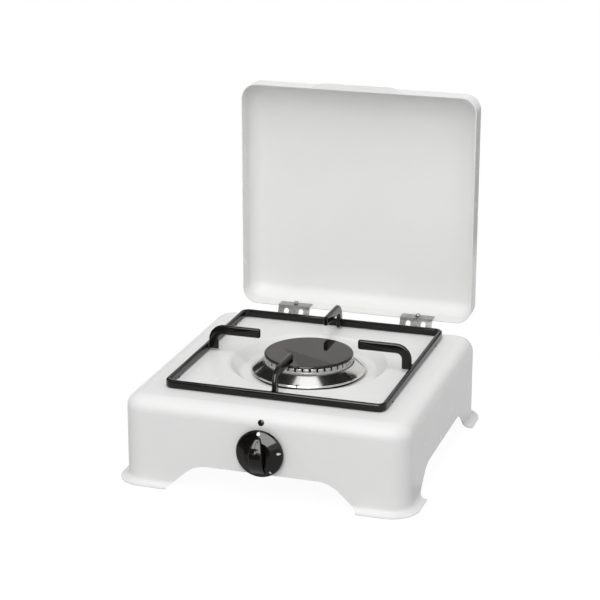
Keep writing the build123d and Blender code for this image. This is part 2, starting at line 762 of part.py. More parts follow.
# Tap body: a barrel with a mounting flange, a side branch for the gas pipe and a thread for the injector
tap_rear = tap_front + tap_barrel_length
branch_y = tap_front + branch_setback
with BuildPart() as tap_body:
    with BuildSketch(facing_back(0, tap_front, tap_height)):
        RectangleRounded(tap_flange_width, tap_flange_height, bonnet_thickness)
    extrude(amount=tap_flange_thickness)
    with BuildSketch(facing_back(0, tap_front, tap_height)):
        Circle(tap_barrel_radius)
    extrude(amount=tap_barrel_length)
    with BuildSketch(Plane.YZ):
        with Locations((branch_y, tap_height)):
            Circle(branch_radius)
    extrude(amount=branch_length)
    with BuildSketch(facing_back(0, tap_front, tap_height)):
        Circle(plug_radius + running_clearance)
    extrude(amount=plug_length + 2 * seat_gap, mode=Mode.SUBTRACT)
    with BuildSketch(facing_back(0, tap_front, tap_height)):
        with GridLocations(panel_screw_spacing, 0, 2, 1):
            Circle(screw_hole_radius)
    extrude(amount=tap_flange_thickness, mode=Mode.SUBTRACT)
    with BuildSketch(facing_front(0, tap_rear, tap_height)):
        Circle(gas_bore_radius)
    extrude(amount=tap_barrel_length - plug_length, mode=Mode.SUBTRACT)
    with BuildSketch(facing_front(0, tap_rear, tap_height)):
        Circle(injector_thread_radius + fit_clearance)
    extrude(amount=injector_thread_length, mode=Mode.SUBTRACT)
    with BuildSketch(Plane.YZ):
        with Locations((branch_y, tap_height)):
            Circle(gas_bore_radius)
    extrude(amount=branch_length, mode=Mode.SUBTRACT)
tap_body.part.label = "tap_body"
export_step(tap_body.part, "parts/tap_body.step")

# Screws through the front panel, hidden behind the knob
with BuildPart() as panel_screws:
    with BuildSketch(facing_back(0, front_y, tap_height)):
        with GridLocations(panel_screw_spacing, 0, 2, 1):
            Circle(screw_radius)
    extrude(amount=body_sheet + bonnet_thickness + tap_flange_thickness)
    with BuildSketch(facing_front(0, front_y, tap_height)):
        with GridLocations(panel_screw_spacing, 0, 2, 1):
            Circle(screw_head_radius)
    extrude(amount=screw_head_height)
    fillet(panel_screws.faces().filter_by(Axis.Y).group_by(Axis.Y)[0].edges(), screw_head_height / 2)
panel_screws.part.label = "panel_screws"
export_step(panel_screws.part, "parts/panel_screws.step")

# Tap plug: turns in the barrel and opens or shuts the gas way
plug_front = tap_front + seat_gap
with BuildPart() as tap_plug:
    with BuildSketch(facing_back(0, plug_front, tap_height)):
        Circle(plug_radius)
    extrude(amount=plug_length)
    with BuildSketch(facing_back(0, plug_front, tap_height)):
        Circle(plug_counterbore_radius)
    extrude(amount=plug_counterbore_depth, mode=Mode.SUBTRACT)
    with BuildSketch(facing_back(0, plug_front, tap_height)):
        Circle(stem_radius + running_clearance)
    extrude(amount=plug_socket_depth, mode=Mode.SUBTRACT)
    with BuildSketch(facing_back(0, plug_front, tap_height)):
        Circle(gas_bore_radius)
    extrude(amount=plug_length, mode=Mode.SUBTRACT)
tap_plug.part.label = "tap_plug"
export_step(tap_plug.part, "parts/tap_plug.step")

# Tap stem: slides in the plug, kept by its collar behind the bonnet, with a flat that drives the knob
collar_front = tap_front + 2 * seat_gap
stem_front = knob_back - stem_in_knob
with BuildPart() as tap_stem:
    with BuildSketch(facing_front(0, tap_front + stem_reach, tap_height)):
        Circle(stem_radius)
    extrude(amount=tap_front + stem_reach - stem_front)
    with BuildSketch(facing_back(0, collar_front, tap_height)):
        Circle(collar_radius)
    extrude(amount=collar_thickness)
    with BuildSketch(facing_back(0, stem_front, tap_height)):
        with Locations((0, -stem_flat)):
            Rectangle(2 * stem_radius, stem_radius, align=(Align.CENTER, Align.MAX))
    extrude(amount=stem_in_knob, mode=Mode.SUBTRACT)
tap_stem.part.label = "tap_stem"
export_step(tap_stem.part, "parts/tap_stem.step")

# Return spring of the stem, as a sleeve of its outer size
with BuildPart() as stem_spring:
    with BuildSketch(facing_back(0, collar_front + collar_thickness, tap_height)):
        Circle(spring_outer_radius)
        Circle(spring_inner_radius, mode=Mode.SUBTRACT)
    extrude(amount=plug_front + plug_counterbore_depth - collar_front - collar_thickness)
stem_spring.part.label = "stem_spring"
export_step(stem_spring.part, "parts/stem_spring.step")

# Knob: a hollow skirt with an arched grip that narrows to a pointer at the top
grip_corner_radius = knob_radius - grip_end_margin
grip_length = 2 * math.sqrt(grip_corner_radius**2 - (grip_width / 2) ** 2)
with BuildPart() as knob_grip:
    with BuildSketch(Plane.YZ):
        with BuildLine():
            grip_arc = ThreePointArc(
                (knob_back - knob_skirt, tap_height - grip_length / 2),
                (knob_back - knob_depth, tap_height),
                (knob_back - knob_skirt, tap_height + grip_length / 2),
            )
            Polyline(
                grip_arc @ 1,
                (knob_back - knob_rim_height / 2, tap_height + grip_length / 2),
                (knob_back - knob_rim_height / 2, tap_height - grip_length / 2),
                grip_arc @ 0,
            )
        make_face()
    extrude(amount=grip_width, both=True)
    with BuildSketch(facing_front(0, knob_back, tap_height)):
        with BuildLine():
            Polyline(
                (-grip_width / 2, -grip_length / 2),
                (grip_width / 2, -grip_length / 2),
                (grip_width / 2, 0),
                (grip_tip_width / 2, grip_length / 2),
                (-grip_tip_width / 2, grip_length / 2),
                (-grip_width / 2, 0),
                close=True,
            )
        make_face()
    extrude(amount=knob_depth, mode=Mode.INTERSECT)
    grip_crest = knob_grip.faces().filter_by(GeomType.CYLINDER)
    fillet(grip_crest.edges(), grip_edge_radius)

clip_base = stem_flat + fit_clearance
with BuildPart() as knob:
    with BuildSketch(Plane(origin=(0, knob_back, tap_height), x_dir=(1, 0, 0), z_dir=(0, 0, -1))):
        with BuildLine():
            FilletPolyline(
                (0, knob_skirt),
                (hub_radius, knob_skirt),
                (knob_radius, knob_rim_height),
                (knob_radius, 0),
                radius=(hub_edge_radius, knob_edge_radius),
            )
            Polyline((knob_radius, 0), (0, 0), (0, knob_skirt))
        make_face()
    revolve(axis=Axis((0, knob_back, tap_height), (0, 1, 0)))
    add(knob_grip.part)
    with BuildSketch(facing_front(0, knob_back, tap_height)):
        Circle(knob_radius - knob_wall)
        Circle(boss_radius, mode=Mode.SUBTRACT)
    extrude(amount=knob_recess, mode=Mode.SUBTRACT)
    with BuildSketch(facing_front(0, knob_back, tap_height)):
        Circle(stem_radius + fit_clearance)
        with Locations((0, clip_base + clip_thickness + fit_clearance)):
            Rectangle(3 * stem_radius, stem_radius, align=(Align.CENTER, Align.MIN), mode=Mode.SUBTRACT)
    extrude(amount=stem_in_knob + fit_clearance, mode=Mode.SUBTRACT)
knob.part.label = "knob"
export_step(knob.part, "parts/knob.step")

# Spring clip between the stem's flat and the knob
with BuildPart() as knob_clip:
    with BuildSketch(facing_front(0, knob_back, tap_height)):
        with Locations((0, clip_base)):
            Rectangle(clip_width, clip_thickness, align=(Align.CENTER, Align.MIN))
    extrude(amount=clip_length)
knob_clip.part.label = "knob_clip"
export_step(knob_clip.part, "parts/knob_clip.step")

# Injector: screwed into the tap, with its nozzle in the mixer tube's mouth
with BuildPart() as injector:
    with BuildSketch(facing_front(0, tap_rear, tap_height)):
        Circle(injector_thread_radius)
    extrude(amount=injector_thread_length)
    with BuildSketch(facing_back(0, tap_rear, tap_height)):
        RegularPolygon(injector_across_flats / 2, 6, major_radius=False)
    extrude(amount=injector_hex_length)
    with BuildSketch(facing_back(0, tap_rear + injector_hex_length, tap_height)):
        Circle(injector_nozzle_radius)
    extrude(amount=injector_nozzle_length)
    fillet(injector.faces().sort_by(Axis.Y)[-1].edges(), injector_nozzle_radius / 2)
    with BuildSketch(facing_back(0, tap_rear - injector_thread_length, tap_height)):
        Circle(injector_hole_radius)
    extrude(amount=injector_thread_length + injector_hex_length + injector_nozzle_length, mode=Mode.SUBTRACT)
injector.part.label = "injector"
export_step(injector.part, "parts/injector.step")

# Mixer tube: from the injector to the bowl, with an air hole on each side
mixer_front = tap_rear + injector_hex_length + injector_nozzle_length - mixer_overlap
mixer_back = burner_y - math.sqrt((base_radius - base_wall) ** 2 - mixer_radius**2) + mixer_entry
with BuildPart() as mixer_tube:
    with BuildSketch(facing_back(0, mixer_front, tap_height)):
        Circle(mixer_radius)
    extrude(amount=mixer_back - mixer_front)
    with BuildSketch(facing_back(0, mixer_front, tap_height)):
        Circle(mixer_flange_radius)
    extrude(amount=mixer_flange_length)
    with BuildSketch(facing_back(0, mixer_front, tap_height)):
        Circle(mixer_radius - mixer_wall)
    extrude(amount=mixer_back - mixer_front, mode=Mode.SUBTRACT)
    with BuildSketch(Plane.YZ):
        with Locations((mixer_front + air_hole_from_mouth, tap_height)):
            Circle(air_hole_radius)
    extrude(amount=2 * mixer_radius, both=True, mode=Mode.SUBTRACT)
mixer_tube.part.label = "mixer_tube"
export_step(mixer_tube.part, "parts/mixer_tube.step")

# Air shutter: a split sleeve that slides on the mixer tube and half covers the air holes
shutter_front = mixer_front + air_hole_from_mouth
with BuildPart() as air_shutter:
    with BuildSketch(facing_back(0, shutter_front, tap_height)):
        Circle(mixer_radius + fit_clearance + shutter_sheet)
        Circle(mixer_radius + fit_clearance, mode=Mode.SUBTRACT)
        with Locations((0, mixer_radius)):
            Rectangle(shutter_slit, mixer_radius, mode=Mode.SUBTRACT)
    extrude(amount=shutter_length)
air_shutter.part.label = "air_shutter"
export_step(air_shutter.part, "parts/air_shutter.step")

# Gas pipe from the tap's branch to the inlet in the back wall
inlet_front = back_y - inlet_shank_length
pipe_end = inlet_front + inlet_socket_depth
with BuildPart() as gas_pipe:
    with BuildLine():
        pipe_route = FilletPolyline(
            (branch_length, branch_y, tap_height),
            (inlet_x, branch_y, tap_height),
            (inlet_x, pipe_end, tap_height),
            radius=pipe_bend_radius,
        )
    with BuildSketch(Plane(origin=pipe_route @ 0, z_dir=pipe_route % 0)):
        Circle(pipe_radius)
        Circle(pipe_radius - pipe_wall, mode=Mode.SUBTRACT)
    sweep()
gas_pipe.part.label = "gas_pipe"
export_step(gas_pipe.part, "parts/gas_pipe.step")

# Union nut: pulls the pipe against the tap's branch
with BuildPart() as tap_union_nut:
    with BuildSketch(Plane.YZ.offset(branch_length - union_nut_overlap)):
        with Locations((branch_y, tap_height)):
            RegularPolygon(union_nut_across_flats / 2, 6, major_radius=False)
    extrude(amount=union_nut_length)
    with BuildSketch(Plane.YZ.offset(branch_length - union_nut_overlap)):
        with Locations((branch_y, tap_height)):
            Circle(branch_radius + fit_clearance)
    extrude(amount=union_nut_overlap, mode=Mode.SUBTRACT)
    with BuildSketch(Plane.YZ.offset(branch_length - union_nut_overlap)):
        with Locations((branch_y, tap_height)):
            Circle(pipe_radius + fit_clearance)
    extrude(amount=union_nut_length, mode=Mode.SUBTRACT)
tap_union_nut.part.label = "tap_union_nut"
export_step(tap_union_nut.part, "parts/tap_union_nut.step")

# Inlet nozzle: a hexagon outside the back wall, a bead and a plain tail for the hose
tail_start = back_y + inlet_hex_length
with BuildPart() as inlet_nozzle:
    with BuildSketch(facing_back(inlet_x, inlet_front, tap_height)):
        Circle(inlet_shank_radius)
    extrude(amount=inlet_shank_length)
    with BuildSketch(facing_back(inlet_x, back_y, tap_height)):
        RegularPolygon(inlet_hex_across_flats / 2, 6, major_radius=False)
    extrude(amount=inlet_hex_length)
    with BuildSketch(facing_back(inlet_x, tail_start, tap_height)):
        Circle(hose_tail_radius)
    extrude(amount=hose_neck_length + hose_bead_length + hose_tail_length)
    with BuildSketch(facing_back(inlet_x, tail_start + hose_neck_length, tap_height)):
        Circle(hose_bead_radius)
    extrude(amount=hose_bead_length)
    with BuildSketch(facing_back(inlet_x, inlet_front, tap_height)):
        Circle(pipe_radius + fit_clearance)
    extrude(amount=inlet_socket_depth, mode=Mode.SUBTRACT)
    with BuildSketch(facing_back(inlet_x, inlet_front, tap_height)):
        Circle(gas_bore_radius)
    extrude(
        amount=inlet_shank_length + inlet_hex_length + hose_neck_length + hose_bead_length + hose_tail_length,
        mode=Mode.SUBTRACT,
    )
    bead_end = tail_start + hose_neck_length + hose_bead_length
    bead_edge = inlet_nozzle.edges().filter_by(GeomType.CIRCLE).filter_by_position(
        Axis.Y, bead_end - fit_clearance, bead_end + fit_clearance
    )
    chamfer(bead_edge.sort_by(SortBy.RADIUS)[-1], hose_bead_radius - hose_tail_radius - fit_clearance)
inlet_nozzle.part.label = "inlet_nozzle"
export_step(inlet_nozzle.part, "parts/inlet_nozzle.step")

# Washer and locknut that clamp the inlet inside the back wall
inner_wall_y = back_y - body_sheet
with BuildPart() as inlet_washer:
    with BuildSketch(facing_front(inlet_x, inner_wall_y, tap_height)):
        Circle(washer_radius)
        Circle(inlet_shank_radius + fit_clearance, mode=Mode.SUBTRACT)
    extrude(amount=washer_thickness)
inlet_washer.part.label = "inlet_washer"
export_step(inlet_washer.part, "parts/inlet_washer.step")

with BuildPart() as inlet_locknut:
    with BuildSketch(facing_front(inlet_x, inner_wall_y - washer_thickness, tap_height)):
        RegularPolygon(locknut_across_flats / 2, 6, major_radius=False)
        Circle(inlet_shank_radius + fit_clearance, mode=Mode.SUBTRACT)
    extrude(amount=locknut_height)
inlet_locknut.part.label = "inlet_locknut"
export_step(inlet_locknut.part, "parts/inlet_locknut.step")
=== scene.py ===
import json
import math

import bmesh
import bpy
from mathutils import Matrix, Vector


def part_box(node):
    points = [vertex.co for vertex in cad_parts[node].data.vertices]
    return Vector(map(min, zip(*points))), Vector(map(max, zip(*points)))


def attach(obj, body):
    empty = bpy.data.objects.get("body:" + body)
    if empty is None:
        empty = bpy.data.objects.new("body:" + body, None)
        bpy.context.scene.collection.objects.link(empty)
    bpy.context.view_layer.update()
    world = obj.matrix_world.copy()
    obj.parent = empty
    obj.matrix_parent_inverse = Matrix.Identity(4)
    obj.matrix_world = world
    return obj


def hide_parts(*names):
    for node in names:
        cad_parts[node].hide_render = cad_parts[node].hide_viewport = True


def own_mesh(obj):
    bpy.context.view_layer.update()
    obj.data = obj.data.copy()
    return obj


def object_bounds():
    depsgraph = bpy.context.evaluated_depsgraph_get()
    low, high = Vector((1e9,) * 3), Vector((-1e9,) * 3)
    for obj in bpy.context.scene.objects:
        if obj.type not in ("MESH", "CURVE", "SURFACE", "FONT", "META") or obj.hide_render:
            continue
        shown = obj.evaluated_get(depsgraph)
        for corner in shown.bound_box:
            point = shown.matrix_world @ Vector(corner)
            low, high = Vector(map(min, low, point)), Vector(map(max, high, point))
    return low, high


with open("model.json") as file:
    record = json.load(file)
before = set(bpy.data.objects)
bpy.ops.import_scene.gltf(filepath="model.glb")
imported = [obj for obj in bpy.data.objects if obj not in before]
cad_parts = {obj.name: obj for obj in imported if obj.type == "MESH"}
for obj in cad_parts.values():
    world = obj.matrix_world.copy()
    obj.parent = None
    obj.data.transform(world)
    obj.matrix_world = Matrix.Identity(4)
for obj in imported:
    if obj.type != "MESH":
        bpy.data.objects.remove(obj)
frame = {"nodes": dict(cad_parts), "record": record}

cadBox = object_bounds()
mm = 0.001
nodes = frame["nodes"]


def middle(node):
    low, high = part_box(node)
    return (Vector(low) + Vector(high)) / 2


# Camera, fitted to the photograph's frame
view = {
    "target": (-8.42 * mm, -13.75 * mm, 136.8 * mm),
    "azimuth": 17.95,
    "elevation": 18.22,
    "distance": 1717.0 * mm,
    "lens": 114.68,
    "sensor": 36,
}


def aimFrom(azimuth, elevation):
    turn, rise = math.radians(azimuth), math.radians(elevation)
    return Vector((math.sin(turn) * math.cos(rise), -math.cos(turn) * math.cos(rise), math.sin(rise)))


def setCamera():
    data = bpy.data.cameras.new("stoveCamera")
    data.sensor_width = view["sensor"]
    data.lens = view["lens"]
    camera = bpy.data.objects.new("stoveCamera", data)
    back = aimFrom(view["azimuth"], view["elevation"])
    camera.location = Vector(view["target"]) + back * view["distance"]
    camera.rotation_euler = back.to_track_quat("Z", "Y").to_euler()
    bpy.context.collection.objects.link(camera)
    bpy.context.scene.camera = camera


# Node helpers
def put(tree, kind, settings=None, **inputs):
    node = tree.nodes.new(kind)
    for key, value in (settings or {}).items():
        setattr(node, key, value)
    for key, value in inputs.items():
        socket = node.inputs[key.replace("_", " ")]
        if isinstance(value, bpy.types.NodeSocket):
            tree.links.new(value, socket)
        else:
            socket.default_value = value
    return node


def sums(tree, operation, *values):
    node = put(tree, "ShaderNodeMath", {"operation": operation})
    for socket, value in zip(node.inputs, values):
        if isinstance(value, bpy.types.NodeSocket):
            tree.links.new(value, socket)
        else:
            socket.default_value = value
    return node.outputs[0]


def spread(tree, value, low, high):  # 0..1 to low..high
    node = put(tree, "ShaderNodeMapRange", Value=value, To_Min=low, To_Max=high)
    return node.outputs["Result"]


def tint(tree, mask, look, run):  # the look's dark tone to its light one, over this run of the mask
    node = put(tree, "ShaderNodeValToRGB", Fac=mask)
    for stop, place, tone in zip(node.color_ramp.elements, run, ("dark", "light")):
        stop.position = place
        stop.color = (*look[tone], 1)
    return node.outputs["Color"]


def newGroup(name, inputs, outputs):
    tree = bpy.data.node_groups.new(name, "ShaderNodeTree")
    for label, kind, value in inputs:
        socket = tree.interface.new_socket(label, in_out="INPUT", socket_type="NodeSocket" + kind)
        if value is not None:
            socket.default_value = value
    for label in outputs:
        tree.interface.new_socket(label, in_out="OUTPUT", socket_type="NodeSocketFloat")
    start = tree.nodes.new("NodeGroupInput")
    end = tree.nodes.new("NodeGroupOutput")
    return tree, start.outputs, end.inputs


# Shared effects
peelShape = {"slow": 0.06, "hole": 0.06}  # slow waves to quick ones, and how much of its cell a pinhole takes


def makePeel():  # the slow waves and faint pinholes of fired enamel
    tree, given, result = newGroup(
        "enamelPeel",
        [("Position", "Vector", None), ("Wave", "Float", 300.0), ("Pinholes", "Float", 900.0)],
        ["Height", "Tone", "Pinhole"],
    )
    place = given["Position"]
    wave = put(tree, "ShaderNodeTexNoise", Vector=place, Scale=given["Wave"], Detail=2.0, Roughness=0.45)
    tree.links.new(wave.outputs["Fac"], result["Height"])
    slow = sums(tree, "MULTIPLY", given["Wave"], peelShape["slow"])
    tone = put(tree, "ShaderNodeTexNoise", Vector=place, Scale=slow, Detail=3.0, Roughness=0.6)
    tree.links.new(tone.outputs["Fac"], result["Tone"])
    hole = put(tree, "ShaderNodeTexVoronoi", Vector=place, Scale=given["Pinholes"])
    near = sums(tree, "LESS_THAN", hole.outputs["Distance"], peelShape["hole"])
    tree.links.new(near, result["Pinhole"])
    return tree


def makeGrain():  # streaks along one direction, from a stretched noise
    tree, given, result = newGroup(
        "metalGrain",
        [("Position", "Vector", None), ("Stretch", "Vector", (1, 1, 1)), ("Scale", "Float", 900.0)],
        ["Streak", "Height"],
    )
    long = put(tree, "ShaderNodeVectorMath", {"operation": "MULTIPLY"})
    tree.links.new(given["Position"], long.inputs[0])
    tree.links.new(given["Stretch"], long.inputs[1])
    fine = put(
        tree, "ShaderNodeTexNoise",
        Vector=long.outputs[0], Scale=given["Scale"], Detail=4.0, Roughness=0.65,
    )
    tree.links.new(fine.outputs["Fac"], result["Height"])
    tree.links.new(fine.outputs["Fac"], result["Streak"])
    return tree


def makeRings():  # tool marks round the Z axis of the position given
    tree, given, result = newGroup(
        "turnedRings", [("Position", "Vector", None), ("Scale", "Float", 1500.0)], ["Ring", "Height"]
    )
    flat = put(tree, "ShaderNodeVectorMath", {"operation": "MULTIPLY"})
    tree.links.new(given["Position"], flat.inputs[0])
    flat.inputs[1].default_value = (1, 1, 0)
    radius = put(tree, "ShaderNodeVectorMath", {"operation": "LENGTH"})
    tree.links.new(flat.outputs[0], radius.inputs[0])
    line = put(
        tree, "ShaderNodeTexNoise", {"noise_dimensions": "1D"},
        W=radius.outputs["Value"], Scale=given["Scale"], Detail=2.0,
    )
    tree.links.new(line.outputs["Fac"], result["Height"])
    tree.links.new(line.outputs["Fac"], result["Ring"])
    return tree


def makeSmudge():  # handling marks that change the gloss
    tree, given, result = newGroup(
        "handlingSmudge", [("Position", "Vector", None), ("Scale", "Float", 18.0)], ["Smudge"]
    )
    cloud = put(
        tree, "ShaderNodeTexNoise",
        Vector=given["Position"], Scale=given["Scale"], Detail=5.0, Roughness=0.7, Distortion=0.6,
    )
    soft = put(tree, "ShaderNodeMapRange", Value=cloud.outputs["Fac"], From_Min=0.35, From_Max=0.75)
    tree.links.new(soft.outputs["Result"], result["Smudge"])
    return tree


peel, grain, rings, smudge = makePeel(), makeGrain(), makeRings(), makeSmudge()
print("shared effects made")


# Finishes
class Finish:
    def __init__(self, name, centre=(0, 0, 0)):
        self.material = bpy.data.materials.new(name)
        self.material.use_nodes = True
        self.tree = self.material.node_tree
        self.shader = self.tree.nodes["Principled BSDF"]
        coordinates = put(self.tree, "ShaderNodeTexCoord")
        mapping = put(
            self.tree, "ShaderNodeMapping", {"vector_type": "TEXTURE"},
            Vector=coordinates.outputs["Object"], Location=centre,
        )
        self.position = mapping.outputs["Vector"]

    def effect(self, group, **values):
        node = put(self.tree, "ShaderNodeGroup", {"node_tree": group})
        self.tree.links.new(self.position, node.inputs["Position"])
        for key, value in values.items():
            node.inputs[key].default_value = value
        return node.outputs

    def feed(self, socket, value):
        if isinstance(value, bpy.types.NodeSocket):
            self.tree.links.new(value, self.shader.inputs[socket])
        else:
            self.shader.inputs[socket].default_value = value

    def bump(self, height, depth):
        node = put(self.tree, "ShaderNodeBump", Height=height, Distance=depth)
        self.feed("Normal", node.outputs["Normal"])


whiteEnamelLook = {
    "light": (0.865, 0.865, 0.860),
    "dark": (0.850, 0.850, 0.844),
    "gloss": (0.24, 0.29),
    "level": 0.07,
    "peel": 0.004 * mm,
    "wave": 260.0,
    "pinholes": 500.0,
}
blackEnamelLook = {
    "light": (0.0075, 0.0063, 0.0055),
    "dark": (0.0040, 0.0034, 0.0030),
    "gloss": (0.07, 0.14),
    "level": 0.35,
    "peel": 0.012 * mm,
    "wave": 420.0,
    "pinholes": 1100.0,
}
capEnamelLook = {
    "light": (0.012, 0.0080, 0.0066),
    "dark": (0.009, 0.0060, 0.0050),
    "gloss": (0.045, 0.075),
    "level": 0.40,
    "peel": 0.002 * mm,
    "wave": 520.0,
    "pinholes": 900.0,
}
enamelMix = {
    "smudge": 0.07,  # of the wave's scale
    "speck": 0.35,  # how much a pinhole darkens
    "run": (0.3, 0.62),  # where on the waves the dark and the light tone lie
}


def makeEnamel(name, look):
    finish = Finish(name)
    skin = finish.effect(peel, Wave=look["wave"], Pinholes=look["pinholes"])
    marks = finish.effect(smudge, Scale=look["wave"] * enamelMix["smudge"])
    specks = sums(finish.tree, "MULTIPLY", skin["Pinhole"], enamelMix["speck"])
    tone = sums(finish.tree, "SUBTRACT", skin["Tone"], specks)
    finish.feed("Base Color", tint(finish.tree, tone, look, enamelMix["run"]))
    finish.feed("Roughness", spread(finish.tree, marks["Smudge"], *look["gloss"]))
    finish.feed("Specular IOR Level", look["level"])
    finish.bump(skin["Height"], look["peel"])
    return finish.material


metalLooks = {  # rolled, drawn or cast stock, with streaks along the stretch given
    "zincSteel": {
        "light": (0.46, 0.46, 0.45), "dark": (0.30, 0.30, 0.29),
        "gloss": (0.22, 0.38), "stretch": (1, 1, 0.2),
    },
    "brass": {
        "light": (0.74, 0.56, 0.26), "dark": (0.60, 0.43, 0.18),
        "gloss": (0.20, 0.36), "stretch": (1, 1, 1),
    },
    "pipeSteel": {
        "light": (0.56, 0.56, 0.56), "dark": (0.44, 0.44, 0.44),
        "gloss": (0.26, 0.42), "stretch": (1, 1, 1),
    },
}
turnedLooks = {  # metal turned about the burner's axis
    "polishedSteel": {
        "light": (0.86, 0.85, 0.83), "dark": (0.72, 0.71, 0.69),
        "gloss": (0.07, 0.20), "depth": 0.0015 * mm, "lines": 2600.0,
    },
    "castAluminium": {
        "light": (0.68, 0.68, 0.67), "dark": (0.48, 0.48, 0.47),
        "gloss": (0.30, 0.44), "depth": 0.008 * mm, "lines": 1800.0,
    },
}
metalScratch = {"depth": 0.010 * mm, "lines": 900.0, "smudge": 60.0}
grainRun = (0.3, 0.7)  # where on the grain the dark and the light tone lie


def makeMetal(name):
    look = metalLooks[name]
    finish = Finish(name)
    line = finish.effect(grain, Stretch=look["stretch"], Scale=metalScratch["lines"])
    marks = finish.effect(smudge, Scale=metalScratch["smudge"])
    finish.feed("Metallic", 1.0)
    finish.feed("Base Color", tint(finish.tree, line["Streak"], look, grainRun))
    finish.feed("Roughness", spread(finish.tree, marks["Smudge"], *look["gloss"]))
    finish.bump(line["Height"], metalScratch["depth"])
    return finish.material


def makeTurnedMetal(name):
    look = turnedLooks[name]
    finish = Finish(name, centre=middle("burner_cap"))
    line = finish.effect(rings, Scale=look["lines"])
    finish.feed("Metallic", 1.0)
    finish.feed("Base Color", tint(finish.tree, line["Ring"], look, grainRun))
    finish.feed("Roughness", spread(finish.tree, line["Ring"], *look["gloss"]))
    finish.bump(line["Height"], look["depth"])
    return finish.material


blackPlasticLook = {
    "light": (0.0080, 0.0066, 0.0056),
    "dark": (0.0046, 0.0038, 0.0032),
    "gloss": (0.06, 0.11),
    "level": 0.45,
    "texture": 0.004 * mm,
    "grain": 700.0,
    "smudge": 70.0,
}


def makeBlackPlastic():
    look = blackPlasticLook
    finish = Finish("blackPlastic")
    line = finish.effect(grain, Scale=look["grain"])
    marks = finish.effect(smudge, Scale=look["smudge"])
    finish.feed("Base Color", tint(finish.tree, line["Streak"], look, grainRun))
    finish.feed("Roughness", spread(finish.tree, marks["Smudge"], *look["gloss"]))
    finish.feed("Specular IOR Level", look["level"])
    finish.bump(line["Height"], look["texture"])
    return finish.material


markLooks = {
    "whitePaint": {
        "light": (0.88, 0.88, 0.87), "dark": (0.76, 0.76, 0.75),
        "gloss": (0.22, 0.40), "metal": 0.0,
    },
    "silverPrint": {
        "light": (0.80, 0.80, 0.79), "dark": (0.58, 0.58, 0.57),
        "gloss": (0.24, 0.42), "metal": 0.6,
    },
}
markInk = {"flake": 2400.0, "run": (0.3, 0.6)}


def makeMark(name):  # ink printed on the knob
    look = markLooks[name]
    finish = Finish(name)
    flake = finish.effect(grain, Scale=markInk["flake"])
    finish.feed("Metallic", look["metal"])
    finish.feed("Base Color", tint(finish.tree, flake["Streak"], look, markInk["run"]))
    finish.feed("Roughness", spread(finish.tree, flake["Streak"], *look["gloss"]))
    return finish.material


finishes = {
    "white_enamel": makeEnamel("whiteEnamel", whiteEnamelLook),
    "black_enamel": makeEnamel("blackEnamel", blackEnamelLook),
    "cap_enamel": makeEnamel("capEnamel", capEnamelLook),
    "zinc_steel": makeMetal("zincSteel"),
    "polished_steel": makeTurnedMetal("polishedSteel"),
    "cast_aluminium": makeTurnedMetal("castAluminium"),
    "brass": makeMetal("brass"),
    "black_plastic": makeBlackPlastic(),
    "pipe_steel": makeMetal("pipeSteel"),
}
for part in frame["record"]["subparts"]:
    solid = nodes[part["node"]]
    solid.data.materials.clear()
    solid.data.materials.append(finishes[part["material_slot"]])
print("finishes on", len(nodes), "solids")


# Making of pieces
mergeGap = 0.001 * mm


def settle(obj, body, slot, *replaced):  # a finished piece joins a body, and the solids it replaces are hidden
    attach(obj, body)
    if replaced:
        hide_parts(*replaced)


def meshObject(name, shape, material, smoothAngle=40):
    bmesh.ops.remove_doubles(shape, verts=shape.verts, dist=mergeGap)
    bmesh.ops.recalc_face_normals(shape, faces=shape.faces)
    mesh = bpy.data.meshes.new(name)
    shape.to_mesh(mesh)
    shape.free()
    smooth(mesh, smoothAngle)
    mesh.materials.append(material)
    obj = bpy.data.objects.new(name, mesh)
    bpy.context.collection.objects.link(obj)
    return obj


def smooth(mesh, angle):
    mesh.shade_smooth()
    mesh.set_sharp_from_angle(angle=math.radians(angle))


def bakeModifiers(obj):  # the modifiers' result becomes the plain mesh
    graph = bpy.context.evaluated_depsgraph_get()
    mesh = bpy.data.meshes.new_from_object(obj.evaluated_get(graph))
    obj.modifiers.clear()
    obj.data = mesh


def roundOff(corners, steps=5):  # corners as (across, up, radius of the round)
    points = []
    for index, (across, up, radius) in enumerate(corners):
        here = Vector((across, up))
        if radius == 0:
            points.append(here)
            continue
        back = (Vector(corners[index - 1][:2]) - here).normalized()
        on = (Vector(corners[(index + 1) % len(corners)][:2]) - here).normalized()
        half = back.angle(on) / 2
        centre = here + (back + on).normalized() * radius / math.sin(half)
        first = here + back * radius / math.tan(half) - centre
        last = here + on * radius / math.tan(half) - centre
        for step in range(steps + 1):
            arm = first.lerp(last, step / steps).normalized()
            points.append(centre + arm * radius)
    return points


def turned(outline, place, steps):  # a closed outline of (radius, height) turned about the place's Z
    shape = bmesh.new()
    rows = []
    for radius, height in outline:
        turns = range(steps) if radius > 0 else range(1)
        angles = [2 * math.pi * turn / steps for turn in turns]
        rows.append([
            shape.verts.new(place @ Vector((radius * math.cos(angle), radius * math.sin(angle), height)))
            for angle in angles
        ])
    for row, above in zip(rows, rows[1:] + rows[:1]):
        for turn in range(steps):
            corners = [row[turn % len(row)], row[(turn + 1) % len(row)]]
            corners += [above[(turn + 1) % len(above)], above[turn % len(above)]]
            corners = list(dict.fromkeys(corners))
            if len(corners) > 2:
                shape.faces.new(corners)
    return shape


